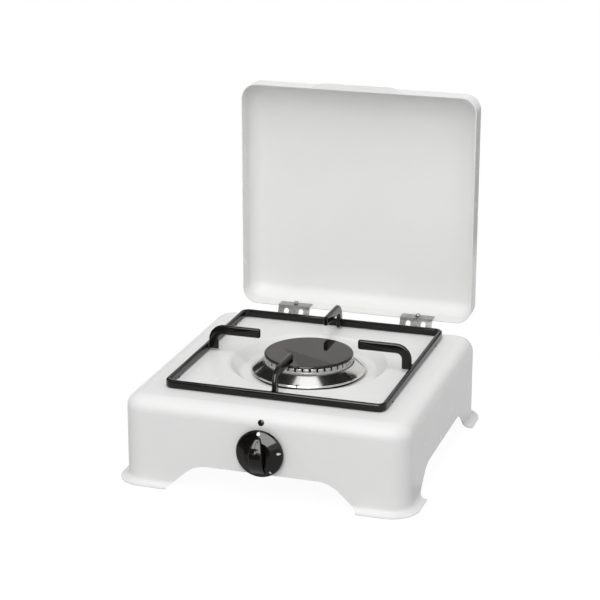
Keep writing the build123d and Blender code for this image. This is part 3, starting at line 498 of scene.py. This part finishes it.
def newShapeTree(name, inputs):
    tree = bpy.data.node_groups.new(name, "GeometryNodeTree")
    tree.interface.new_socket("Geometry", in_out="INPUT", socket_type="NodeSocketGeometry")
    for label, kind in inputs:
        tree.interface.new_socket(label, in_out="INPUT", socket_type="NodeSocket" + kind)
    tree.interface.new_socket("Geometry", in_out="OUTPUT", socket_type="NodeSocketGeometry")
    start = tree.nodes.new("NodeGroupInput")
    end = tree.nodes.new("NodeGroupOutput")
    return tree, start.outputs, end.inputs["Geometry"]


def finishTree(tree, geometry, material, end):  # every tree ends the same way
    real = put(tree, "GeometryNodeRealizeInstances", Geometry=geometry)
    dressed = put(tree, "GeometryNodeSetMaterial", Geometry=real.outputs[0], Material=material)
    tree.links.new(dressed.outputs[0], end)


def grow(obj, tree, values):  # runs a tree on the object and keeps the result
    modifier = obj.modifiers.new(tree.name, "NODES")
    modifier.node_group = tree
    sockets = {item.name: item.identifier for item in tree.interface.items_tree if item.in_out == "INPUT"}
    for label, value in values.items():
        modifier[sockets[label]] = value
    bakeModifiers(obj)


def emptyObject(name, points=(), edges=()):
    mesh = bpy.data.meshes.new(name)
    mesh.from_pydata(list(points), list(edges), [])
    obj = bpy.data.objects.new(name, mesh)
    bpy.context.collection.objects.link(obj)
    return obj


# Spill ring: a spun cone with a rolled hem on a foot ring coloured black as painted shade under the hem, in
# millimetres above the well's floor
spillRing = {
    "hem": 1.2, "hemGap": 2.9, "hemRound": 0.54, "neck": 0.48, "neckRound": 0.12, "recess": 3.4,
    "crease": 0.1, "wall": 0.8, "lip": 4.3, "bend": 0.8, "top": 0.4, "crownGap": 0.4, "steps": 160,
}


def makeSpillRing():
    low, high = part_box("spill_ring")
    centre = middle("spill_ring")
    place = Matrix.Translation((centre.x, centre.y, low.z)) @ Matrix.Scale(mm, 4)
    outer = (high.x - low.x) / 2 / mm
    tall = (high.z - low.z) / mm
    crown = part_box("burner_crown")
    inner = (crown[1].x - crown[0].x) / 2 / mm + spillRing["crownGap"]
    hem, gap, wall, lip = (spillRing[size] for size in ("hem", "hemGap", "wall", "lip"))
    neck = outer - spillRing["neck"]
    inside = outer - spillRing["recess"]
    outline = roundOff([
        (inside, gap, spillRing["crease"]), (outer, gap, spillRing["hemRound"]),
        (outer, gap + hem, spillRing["hemRound"]), (neck, gap + hem, spillRing["neckRound"]),
        (neck, lip, spillRing["bend"]), (inner, tall, spillRing["top"]),
        (inner, tall - wall, 0), (inside, lip - wall / 2, spillRing["crease"]),
    ])
    shape = turned(outline, place, spillRing["steps"])
    obj = meshObject("spillRing", shape, finishes["polished_steel"], smoothAngle=50)
    settle(obj, "cabinet", "polished_steel", "spill_ring")
    top = gap + hem / 2  # the foot ends in the hem
    # the foot is black enamel as painted shade: a dark ring that darkens the gap under the hem, where the steel
    # would reflect the lit floor
    foot = [(inside - wall, 0), (inside + wall, 0), (inside + wall, top), (inside - wall, top)]
    obj = meshObject("ringFoot", turned(foot, place, spillRing["steps"]), finishes["black_enamel"])
    settle(obj, "cabinet", "black_enamel")


# Flame crown: a turned ring with a tooth between every two ports, in millimetres
flameCrown = {
    "ports": 38, "portWidth": 1.7, "portHeight": 3.2, "toothRound": 0.4, "toothSink": 0.3,
    "wall": 6.8, "spigotWall": 2.4, "drop": 0.5,
    "boreRound": 0.3, "spigotRound": 0.6, "rimRound": 0.5, "ledgeRound": 0.25, "steps": 152,
}


def makeTooth(outer, inner):  # one tooth on the X axis, its foot sunk in the ring
    shape = bmesh.new()
    pitch = 2 * math.pi / flameCrown["ports"]
    corners = []
    for radius in (inner, outer):
        half = radius * pitch / 2 - flameCrown["portWidth"] / 2
        for side in (-half, half):
            corners += [(radius, side, -flameCrown["toothSink"]), (radius, side, flameCrown["portHeight"])]
    made = [shape.verts.new(Vector(corner) * mm) for corner in corners]
    for face in [(0, 1, 3, 2), (4, 6, 7, 5), (0, 4, 5, 1), (2, 3, 7, 6), (1, 5, 7, 3), (0, 2, 6, 4)]:
        shape.faces.new([made[corner] for corner in face])
    bmesh.ops.bevel(
        shape, geom=shape.edges[:], affect="EDGES",
        offset=flameCrown["toothRound"] * mm, segments=2, profile=0.5,
    )
    return meshObject("crownTooth", shape, finishes["cast_aluminium"])


def makeCrownTree():
    tree, given, end = newShapeTree(
        "crownTeeth", [("Teeth", "Int"), ("Centre", "Vector"), ("Tooth", "Object"), ("Metal", "Material")]
    )
    ring = put(tree, "GeometryNodeMeshCircle", Vertices=given["Teeth"], Radius=0.0)
    count = put(tree, "GeometryNodeInputIndex")
    pitch = sums(tree, "DIVIDE", 2 * math.pi, given["Teeth"])
    turn = put(tree, "ShaderNodeCombineXYZ", Z=sums(tree, "MULTIPLY", count.outputs[0], pitch))
    tooth = put(tree, "GeometryNodeObjectInfo", Object=given["Tooth"])
    copies = put(
        tree, "GeometryNodeInstanceOnPoints",
        Points=ring.outputs["Mesh"], Instance=tooth.outputs["Geometry"], Rotation=turn.outputs[0],
    )
    moved = put(tree, "GeometryNodeTransform", Geometry=copies.outputs[0], Translation=given["Centre"])
    both = tree.nodes.new("GeometryNodeJoinGeometry")
    tree.links.new(moved.outputs[0], both.inputs[0])
    tree.links.new(given["Geometry"], both.inputs[0])
    finishTree(tree, both.outputs[0], given["Metal"], end)
    return tree


def makeFlameCrown():
    low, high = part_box("burner_crown")
    centre = middle("burner_crown")
    look = flameCrown
    outer = (high.x - low.x) / 2 / mm
    inner = outer - look["wall"]
    spigot = inner + look["spigotWall"]
    seat = (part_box("spill_ring")[1].z - low.z) / mm - look["drop"]  # flange's underside, below the ring's top
    ledge = (high.z - low.z) / mm - look["portHeight"]
    place = Matrix.Translation((centre.x, centre.y, low.z)) @ Matrix.Scale(mm, 4)
    outline = roundOff([
        (inner, 0, look["boreRound"]), (spigot, 0, look["spigotRound"]), (spigot, seat, 0),
        (outer, seat, look["rimRound"]), (outer, ledge, look["ledgeRound"]), (inner, ledge, 0),
    ])
    crown = meshObject("flameCrown", turned(outline, place, look["steps"]), finishes["cast_aluminium"])
    tooth = makeTooth(outer, inner)
    grow(crown, makeCrownTree(), {
        "Teeth": look["ports"], "Centre": (centre.x, centre.y, low.z + ledge * mm),
        "Tooth": tooth, "Metal": finishes["cast_aluminium"],
    })
    bpy.data.objects.remove(tooth)
    settle(crown, "crown", "cast_aluminium", "burner_crown")


# Pan support: a bar with rounded edges bent round the hob, and four bent fingers, in millimetres
panSupport = {
    "bar": 4.0, "edge": 1.7, "edgeSteps": 5, "corner": 8.0, "cornerSteps": 8,
    "fingerHeight": 9.0, "fingerBend": 14.0, "fingerTip": 2.0, "leastTip": 0.2,
    "headings": {"front": 90, "back": -90, "left": 0, "right": 180},  # turns about Z from pointing along X
}


def stitch(name, rows, ends, place):  # faces between rows of points, in a ring or closed at both ends
    shape = bmesh.new()
    made = [[shape.verts.new(place @ Vector(point)) for point in row] for row in rows]
    ahead = made[1:] if ends else made[1:] + made[:1]
    for row, after in zip(made, ahead):
        for index in range(len(row)):
            last = index - 1
            shape.faces.new((row[last], row[index], after[index], after[last]))
    if ends:
        shape.faces.new(made[0])
        shape.faces.new(made[-1])
    return meshObject(name, shape, finishes["black_enamel"], smoothAngle=30)


def makeSupportFrame():
    low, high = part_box("support_frame")
    half = (high - low) / 2 / mm
    bar, edge = panSupport["bar"], panSupport["edge"]
    sides = [(bar / 2, half.z), (-bar / 2, half.z), (-bar / 2, -half.z), (bar / 2, -half.z)]
    rows = []
    for across, up in roundOff([(*side, edge) for side in sides], panSupport["edgeSteps"]):
        wide, deep = half.x - bar / 2 + across, half.y - bar / 2 + across
        radius = panSupport["corner"] - bar / 2 + across
        corners = [(wide, deep), (-wide, deep), (-wide, -deep), (wide, -deep)]
        loop = roundOff([(*corner, radius) for corner in corners], panSupport["cornerSteps"])
        rows.append([(*point, up) for point in loop])
    place = Matrix.Translation(middle("support_frame")) @ Matrix.Scale(mm, 4)
    obj = stitch("supportFrame", rows, False, place)
    settle(obj, "pan_support", "black_enamel", "support_frame")


def fingerOutline(reach, tall, inset):  # side view: along from the frame, up from the leg's foot
    thick, bend = panSupport["fingerHeight"], panSupport["fingerBend"]
    tip = max(panSupport["fingerTip"] - inset, panSupport["leastTip"])
    return roundOff([
        (inset, inset, 0), (inset, tall - inset, bend - inset),
        (reach - inset, tall - inset, tip), (reach - inset, tall - thick + inset, tip),
        (thick - inset, tall - thick + inset, bend - thick + inset), (thick - inset, inset, 0),
    ])


def makeFinger(side, heading):
    node = "support_finger_" + side
    low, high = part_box(node)
    bar, edge, steps = panSupport["bar"], panSupport["edge"], panSupport["edgeSteps"]
    reach, tall = max(high.x - low.x, high.y - low.y) / mm, (high.z - low.z) / mm
    turns = [math.radians(90 * step / steps) for step in range(steps)]
    slices = [(bar / 2 - edge + edge * math.cos(turn), edge * (1 - math.sin(turn))) for turn in turns]
    slices = [(-across, inset) for across, inset in slices] + slices[::-1]
    rows = []
    for across, inset in slices:
        rows.append([(along, across, up) for along, up in fingerOutline(reach, tall, inset)])
    lay = Matrix.Rotation(math.radians(heading), 4, "Z") @ Matrix.Scale(mm, 4)
    foot = lay @ Vector((-reach / 2, 0, -tall / 2))
    place = Matrix.Translation(middle(node) + foot) @ lay
    settle(stitch("finger" + side.title(), rows, True, place), "pan_support", "black_enamel", node)


def makeFingers():
    for side, heading in panSupport["headings"].items():
        makeFinger(side, heading)


# Welds: beads up both sides of each finger's leg, where it meets the frame
welds = {"beads": 7, "beadRadius": 0.95 * mm, "uneven": 0.22, "seed": 5}


def makeWeldTree():
    tree, given, end = newShapeTree(
        "weldBeads",
        [("Beads", "Int"), ("Bead Radius", "Float"), ("Uneven", "Float"), ("Seed", "Int"),
         ("Metal", "Material")],
    )
    seam = put(tree, "GeometryNodeMeshToCurve", Mesh=given["Geometry"])
    along = put(tree, "GeometryNodeCurveToPoints", Curve=seam.outputs[0], Count=given["Beads"])
    bead = put(tree, "GeometryNodeMeshIcoSphere", Radius=given["Bead Radius"], Subdivisions=2)
    soft = put(tree, "GeometryNodeSetShadeSmooth", Geometry=bead.outputs["Mesh"])
    least = sums(tree, "SUBTRACT", 1.0, given["Uneven"])
    most = sums(tree, "ADD", 1.0, given["Uneven"])
    size = put(tree, "FunctionNodeRandomValue", {"data_type": "FLOAT"})
    for socket in size.inputs:
        if socket.enabled and socket.name in ("Min", "Max", "Seed"):
            tree.links.new({"Min": least, "Max": most, "Seed": given["Seed"]}[socket.name], socket)
    chosen = next(socket for socket in size.outputs if socket.enabled)
    copies = put(
        tree, "GeometryNodeInstanceOnPoints",
        Points=along.outputs["Points"], Instance=soft.outputs[0], Scale=chosen,
    )
    finishTree(tree, copies.outputs[0], given["Metal"], end)
    return tree


def makeWelds():
    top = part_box("support_frame")[1].z - welds["beadRadius"]
    points = []
    for side, across in (("front", "x"), ("back", "x"), ("left", "y"), ("right", "y")):
        low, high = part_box("support_finger_" + side)
        foot = {"front": low.y, "back": high.y, "left": low.x, "right": high.x}[side]
        for edge in (getattr(low, across), getattr(high, across)):
            for height in (low.z + welds["beadRadius"], top):
                points.append((edge, foot, height) if across == "x" else (foot, edge, height))
    edges = [(start, start + 1) for start in range(0, len(points), 2)]
    obj = emptyObject("supportWelds", points, edges)
    grow(obj, makeWeldTree(), {
        "Beads": welds["beads"], "Bead Radius": welds["beadRadius"], "Uneven": welds["uneven"],
        "Seed": welds["seed"], "Metal": finishes["black_enamel"],
    })
    settle(obj, "pan_support", "black_enamel")


# Return spring of the tap: a wound wire that the pushed stem presses together
stemSpring = {"turns": 3.5, "wire": 0.5 * mm, "pressed": 0.50}


def makeSpringTree():
    tree, given, end = newShapeTree(
        "woundWire",
        [("Turns", "Float"), ("Coil Radius", "Float"), ("Wire Radius", "Float"), ("Length", "Float"),
         ("Start", "Vector"), ("Metal", "Material")],
    )
    coil = put(
        tree, "GeometryNodeCurveSpiral", Resolution=40, Rotations=given["Turns"],
        Start_Radius=given["Coil Radius"], End_Radius=given["Coil Radius"], Height=given["Length"],
    )
    wire = put(tree, "GeometryNodeCurvePrimitiveCircle", Resolution=12, Radius=given["Wire Radius"])
    tube = put(
        tree, "GeometryNodeCurveToMesh", Curve=coil.outputs[0], Profile_Curve=wire.outputs[0], Fill_Caps=True
    )
    laid = put(
        tree, "GeometryNodeTransform",
        Geometry=tube.outputs[0], Translation=given["Start"], Rotation=(math.radians(-90), 0, 0),
    )
    soft = put(tree, "GeometryNodeSetShadeSmooth", Geometry=laid.outputs[0])
    finishTree(tree, soft.outputs[0], given["Metal"], end)
    return tree


def makeStemSpring():
    low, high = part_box("stem_spring")
    centre = middle("stem_spring")
    wire = stemSpring["wire"]
    obj = emptyObject("stemSpring")
    grow(obj, makeSpringTree(), {
        "Turns": stemSpring["turns"], "Coil Radius": (high.x - low.x) / 2 - wire, "Wire Radius": wire,
        "Length": high.y - low.y - 2 * wire, "Start": (centre.x, low.y + wire, centre.z),
        "Metal": finishes["zinc_steel"],
    })
    settle(obj, "spindle", "zinc_steel", "stem_spring")
    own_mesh(obj)


# Knob: a coned skirt and an arched grip with a pointer groove, in millimetres out from its back
knobShape = {
    "hubRadius": 12.4, "hubHeight": 6.2, "hubRound": 2.0, "rimHeight": 2.5, "rimInset": 0.8, "rimRound": 0.7,
    "sideDrop": 1.6, "sideRound": 0.8, "footRound": 0.25, "hollowWall": 2.8, "hollowDepth": 1.6,
    "bossRadius": 6.2, "boreRadius": 3.1, "boreDepth": 3.1, "steps": 144,
    "gripHalf": 16.4, "gripFoot": 2.4, "gripEnd": 5.4, "arch": 2.2, "crown": 0.05,
    "tailWidth": 12.6, "waistWidth": 11.8, "pointerWidth": 4.0, "taper": 2.0,
    "edge": 0.9, "edgeSteps": 4, "shoulder": 0.85, "sections": 60,
    "groove": (4.0, 14.0), "grooveRun": 2.5, "grooveDepth": 0.7, "grooveHalf": 0.6, "grooveFlare": 1.3,
    "widestBed": 0.5, "widestFlare": 0.7,  # of the flat's half width
}


def gripSection(along, pullIn, depth):  # outline across the grip at one place along it, pulled in at the ends
    shape = knobShape
    share = along / shape["gripHalf"]
    far = shape["pointerWidth"] if share > 0 else shape["tailWidth"]
    half = (shape["waistWidth"] + (far - shape["waistWidth"]) * abs(share) ** shape["taper"]) / 2 - pullIn
    full = depth - shape["crown"]
    front = full - (full - shape["gripEnd"]) * abs(share) ** shape["arch"] - pullIn
    edge = min(shape["edge"], half / 2)
    flat = half - edge
    start, stop = shape["groove"]
    fromEnd = min(along - start, stop - along)
    sunk = shape["grooveDepth"] * min(max(fromEnd / shape["grooveRun"], 0.0), 1.0)
    bed = min(shape["grooveHalf"], flat * shape["widestBed"])
    bank = min(shape["grooveHalf"] * shape["grooveFlare"], flat * shape["widestFlare"])
    side = [(half, shape["gripFoot"])]
    for step in range(shape["edgeSteps"] + 1):
        angle = math.radians(90 * step / shape["edgeSteps"])
        side.append((flat + edge * math.cos(angle), front - edge + edge * math.sin(angle)))
    for across, sink in ((flat * shape["shoulder"], 0.0), (bank, 0.0), (bed, sunk)):
        side.append((across, front + shape["crown"] * (1 - (across / half) ** 2) - sink))
    return side + [(-across, up) for across, up in reversed(side)]


def makeGrip(place, depth):
    shape = bmesh.new()
    half, edge, steps = knobShape["gripHalf"], knobShape["edge"], knobShape["edgeSteps"]
    ends = []
    for step in range(steps):  # rounded end
        angle = math.radians(90 * step / steps)
        ends.append((-half + edge - edge * math.cos(angle), edge - edge * math.sin(angle)))
    inner, sections = half - edge, knobShape["sections"]
    stations = ends + [(inner * (2 * step / sections - 1), 0.0) for step in range(sections + 1)]
    stations += [(-along, pullIn) for along, pullIn in reversed(ends)]
    rows = []
    for along, pullIn in stations:
        outline = gripSection(along, pullIn, depth)
        rows.append([shape.verts.new(place @ Vector((across, along, up))) for across, up in outline])
    for row, ahead in zip(rows, rows[1:]):
        for index in range(len(row)):
            after = (index + 1) % len(row)
            shape.faces.new((row[index], row[after], ahead[after], ahead[index]))
    shape.faces.new(rows[0])
    shape.faces.new(rows[-1])
    return meshObject("knobGrip", shape, finishes["black_plastic"])


def makeKnob():
    low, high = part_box("knob")
    centre = middle("knob")
    shape = knobShape
    rim = (high.x - low.x) / 2 / mm
    hollow = rim - shape["hollowWall"]
    place = Matrix.Translation((centre.x, high.y, centre.z)) @ Matrix.Rotation(math.radians(90), 4, "X")
    place = place @ Matrix.Scale(mm, 4)
    outline = roundOff([
        (0, shape["hubHeight"], 0), (shape["hubRadius"], shape["hubHeight"], shape["hubRound"]),
        (rim - shape["rimInset"], shape["rimHeight"], shape["rimRound"]),
        (rim, shape["rimHeight"] - shape["sideDrop"], shape["sideRound"]), (rim, 0, shape["footRound"]),
        (hollow, 0, shape["footRound"]), (hollow, shape["hollowDepth"], 0),
        (shape["bossRadius"], shape["hollowDepth"], 0), (shape["bossRadius"], 0, 0),
        (shape["boreRadius"], 0, 0), (shape["boreRadius"], shape["boreDepth"], 0), (0, shape["boreDepth"], 0),
    ])
    skirt = turned(outline, place, shape["steps"])
    knob = meshObject("controlKnob", skirt, finishes["black_plastic"], smoothAngle=30)
    grip = makeGrip(place, (high.y - low.y) / mm)
    union = knob.modifiers.new("union", "BOOLEAN")
    union.operation = "UNION"
    union.solver = "EXACT"
    union.object = grip
    bakeModifiers(knob)
    bpy.data.objects.remove(grip)
    smooth(knob.data, angle=30)
    settle(knob, "control", "black_plastic", "knob")
    return knob


# Printed marks, in millimetres, each laid on what a straight line from the front meets
indexDot = {"height": 70.0, "radius": 2.8, "dome": 0.5, "sink": 0.2, "steps": 48}
pointerDot = {"up": 18.8, "radius": 1.6, "dome": 0.12, "sink": 0.2, "steps": 40}
flameMarks = {
    "turns": {"high": (80.0, 1.0), "low": (145.0, 0.78)},  # degrees round from the pointer, and size
    "radius": 18.5, "length": 4.2, "width": 2.5, "fullness": 1.2, "taper": 1.3, "thick": 0.12, "sink": 0.15,
    "steps": 28,
}
standOff = 100 * mm
domeSteps = 6


def meets(obj, across, height):  # place on a piece, with its Z out of the surface
    start = Vector((across * mm, cadBox[0].y - standOff, height * mm))
    point, normal = obj.ray_cast(start, Vector((0, 1, 0)))[1:3]
    turn = normal.to_track_quat("Z", "Y")
    return Matrix.Translation(point) @ turn.to_matrix().to_4x4() @ Matrix.Scale(mm, 4)


def makeDot(name, dot, place, material):  # a low dome with its foot sunk in the surface
    turns = [math.pi / 2 * step / domeSteps for step in range(domeSteps)]
    outline = [(0, -dot["sink"]), (dot["radius"], -dot["sink"])]
    outline += [(dot["radius"] * math.cos(turn), dot["dome"] * math.sin(turn)) for turn in turns]
    outline.append((0, dot["dome"]))
    return meshObject(name, turned(outline, place, dot["steps"]), material, smoothAngle=60)


def makeIndexDot():
    place = meets(nodes["cabinet_shell"], 0.0, indexDot["height"])
    obj = makeDot("indexDot", indexDot, place, finishes["black_plastic"])
    settle(obj, "cabinet", "black_plastic")


def makePointerDot(knob):
    axis = middle("knob")
    place = meets(knob, axis.x / mm, axis.z / mm + pointerDot["up"])
    obj = makeDot("pointerDot", pointerDot, place, makeMark("whitePaint"))
    settle(obj, "control", "white_enamel")


def dropOutline():  # a drop that comes to a point at the outer end
    points = []
    for step in range(flameMarks["steps"]):
        share = 2 * math.pi * step / flameMarks["steps"]
        full = math.sin(share) * math.sin(share / 2) ** flameMarks["taper"] * flameMarks["fullness"]
        points.append(Vector((flameMarks["length"] / 2 * math.cos(share), flameMarks["width"] / 2 * full, 0)))
    return points


def makeFlameMarks(knob):  # two plain drops on the skirt, a large flame and a small one
    axis = middle("knob")
    shape = bmesh.new()
    for turn, size in flameMarks["turns"].values():
        angle = math.radians(turn)
        outwards = Vector((math.sin(angle), 0, math.cos(angle)))
        spot = axis / mm + outwards * flameMarks["radius"]
        place = meets(knob, spot.x, spot.z)
        heading = place.to_3x3().inverted() @ outwards
        lay = Matrix.Rotation(math.atan2(heading.y, heading.x), 3, "Z") @ Matrix.Scale(size, 3)
        layers = []
        for level in (-flameMarks["sink"], flameMarks["thick"]):
            points = [lay @ point + Vector((0, 0, level)) for point in dropOutline()]
            layers.append([shape.verts.new(place @ point) for point in points])
        under, over = layers
        shape.faces.new(over)
        shape.faces.new(under)
        for index in range(len(under)):
            last = index - 1
            shape.faces.new((under[last], under[index], over[index], over[last]))
    obj = meshObject("flameMarks", shape, makeMark("silverPrint"), smoothAngle=30)
    settle(obj, "control", "zinc_steel")


makeSpillRing()
makeFlameCrown()
makeSupportFrame()
makeFingers()
makeWelds()
makeStemSpring()
knobPiece = makeKnob()
makeIndexDot()
makePointerDot(knobPiece)
makeFlameMarks(knobPiece)
print("pieces made")


# Stage
stageLook = {
    "floorSize": 6.0, "floorTone": 0.55, "worldLight": 0.50, "whiteShare": 0.85, "white": 1.12,
    "lampSpread": 180, "clothTone": 0.02,
    "lastBounce": 1.5,  # cards are dark to rays that have bounced more often, which keeps noise down
}
lamps = {
    "frontLamp": {"aim": (6, 38), "distance": 2.1, "size": (0.9, 2.0), "power": 16.6},
    "lidLamp": {
        "aim": (38, 34), "distance": 1.5, "size": (0.3, 0.3), "power": 0.020,
        "spread": 14, "target": "lid_shell",
    },
    "rightLamp": {"aim": (60, 28), "distance": 2.2, "size": (1.2, 1.2), "power": 0.8},
    "topLamp": {"aim": (12, 74), "distance": 1.8, "size": (0.7, 0.7), "power": 7.6},
}
cards = {  # glowing studio panels that only reflections see; one that lies on the floor has its middle there
    "zenithCard": {"aim": (18, 88), "distance": 1.8, "size": (0.62, 0.62), "glow": 1.2},
    "frontCard": {"aim": (2, 36), "distance": 2.0, "size": (1.8, 2.1), "glow": 7.5},
    "tableCard": {"lies": (0, -0.93, 0.001), "size": (2.4, 1.7), "glow": 0.45},
    "hingeLeftCard": {
        "aim": (-26, 42), "distance": 0.12, "size": (0.10, 0.12), "glow": 0.55, "target": "lid_strap_left",
    },
    "hingeRightCard": {
        "aim": (-26, 42), "distance": 0.12, "size": (0.10, 0.12), "glow": 0.55, "target": "lid_strap_right",
    },
    "tableShade": {"lies": (-0.92, -1.2, 0.002), "size": (1.8, 1.9), "glow": 0.10},
}
flags = {  # dark studio panels that only reflections see
    "highRightFlag": {"aim": (133, 58), "distance": 1.2, "size": (1.12, 0.87)},
    "highLeftFlag": {"aim": (263, 55), "distance": 1.2, "size": (1.12, 0.87)},
    "lowLeftFlag": {"aim": (236, 24), "distance": 1.1, "size": (1.1, 0.8)},
    "frontLeftFlag": {"aim": (-39, 6), "distance": 1.2, "size": (1.04, 0.76)},
    "backRightFlag": {"aim": (150, 42), "distance": 0.9, "size": (0.45, 0.4)},
    "rearFlag": {"aim": (158, -4), "distance": 0.7, "size": (0.9, 0.3)},
}


def seesBackground(tree):  # 1 where the camera, a reflection or clear glass looks at it
    path = put(tree, "ShaderNodeLightPath")
    either = sums(tree, "MAXIMUM", path.outputs["Is Camera Ray"], path.outputs["Is Glossy Ray"])
    return sums(tree, "MAXIMUM", either, path.outputs["Is Transmission Ray"])


def stand(obj, setting):  # flat on the floor, or facing the stove or one of its pieces
    if "lies" in setting:
        obj.location = setting["lies"]
    else:
        back = aimFrom(*setting["aim"])
        target = middle(setting["target"]) if "target" in setting else Vector(view["target"])
        obj.location = target + back * setting["distance"]
        obj.rotation_euler = back.to_track_quat("Z", "Y").to_euler()
    bpy.context.collection.objects.link(obj)


def panel(name, wide, high, material):
    signs = [(-1, -1), (1, -1), (1, 1), (-1, 1)]
    mesh = bpy.data.meshes.new(name)
    mesh.from_pydata([(across * wide / 2, up * high / 2, 0) for across, up in signs], [], [(0, 1, 2, 3)])
    mesh.materials.append(material)
    return bpy.data.objects.new(name, mesh)


def makeWorld():
    world = bpy.data.worlds.new("paleStudio")
    bpy.context.scene.world = world
    world.use_nodes = True
    tree = world.node_tree
    tree.nodes.clear()
    soft = put(tree, "ShaderNodeBackground", Color=(1, 1, 1, 1), Strength=stageLook["worldLight"])
    white = put(tree, "ShaderNodeBackground", Color=(1, 1, 1, 1), Strength=1.0)
    mix = put(tree, "ShaderNodeMixShader", Fac=seesBackground(tree))
    tree.links.new(soft.outputs[0], mix.inputs[1])
    tree.links.new(white.outputs[0], mix.inputs[2])
    put(tree, "ShaderNodeOutputWorld", Surface=mix.outputs[0])


def makeFloor():
    material = bpy.data.materials.new("paleFloor")
    material.use_nodes = True
    tree = material.node_tree
    tree.nodes.clear()
    tone = stageLook["floorTone"]
    matt = put(tree, "ShaderNodeBsdfDiffuse", Color=(tone, tone, tone, 1))
    glow = put(tree, "ShaderNodeEmission", Color=(1, 1, 1, 1), Strength=stageLook["white"])
    share = sums(tree, "MULTIPLY", seesBackground(tree), stageLook["whiteShare"])
    mix = put(tree, "ShaderNodeMixShader", Fac=share)
    tree.links.new(matt.outputs[0], mix.inputs[1])
    tree.links.new(glow.outputs[0], mix.inputs[2])
    put(tree, "ShaderNodeOutputMaterial", Surface=mix.outputs[0])
    floor = panel("paleFloor", stageLook["floorSize"], stageLook["floorSize"], material)
    bpy.context.collection.objects.link(floor)


def makeLamps():
    for name, lamp in lamps.items():
        data = bpy.data.lights.new(name, "AREA")
        data.shape = "RECTANGLE"
        data.size, data.size_y = lamp["size"]
        data.energy = lamp["power"]
        data.spread = math.radians(lamp.get("spread", stageLook["lampSpread"]))
        obj = bpy.data.objects.new(name, data)
        obj.visible_glossy = False  # the cards stand in for the lamps in reflections
        stand(obj, lamp)


def hang(name, setting, material):  # a panel that only reflections see
    obj = panel(name, *setting["size"], material)
    obj.visible_camera = obj.visible_diffuse = obj.visible_shadow = obj.visible_transmission = False
    stand(obj, setting)


def makeFlags():
    material = bpy.data.materials.new("darkCloth")
    material.use_nodes = True
    cloth = material.node_tree.nodes["Principled BSDF"]
    tone = stageLook["clothTone"]
    cloth.inputs["Base Color"].default_value = (tone, tone, tone, 1)
    cloth.inputs["Roughness"].default_value = 1.0
    for name, flag in flags.items():
        hang(name, flag, material)


def makeCards():
    for name, card in cards.items():
        material = bpy.data.materials.new(name)
        material.use_nodes = True
        tree = material.node_tree
        tree.nodes.clear()
        path = put(tree, "ShaderNodeLightPath")
        seen = sums(tree, "LESS_THAN", path.outputs["Ray Depth"], stageLook["lastBounce"])
        strength = sums(tree, "MULTIPLY", seen, card["glow"])
        glow = put(tree, "ShaderNodeEmission", Color=(1, 1, 1, 1), Strength=strength)
        put(tree, "ShaderNodeOutputMaterial", Surface=glow.outputs[0])
        hang(name, card, material)


setCamera()
makeWorld()
makeFloor()
makeLamps()
makeFlags()
makeCards()
bpy.context.scene.view_settings.view_transform = "Standard"
print("camera and stage set")
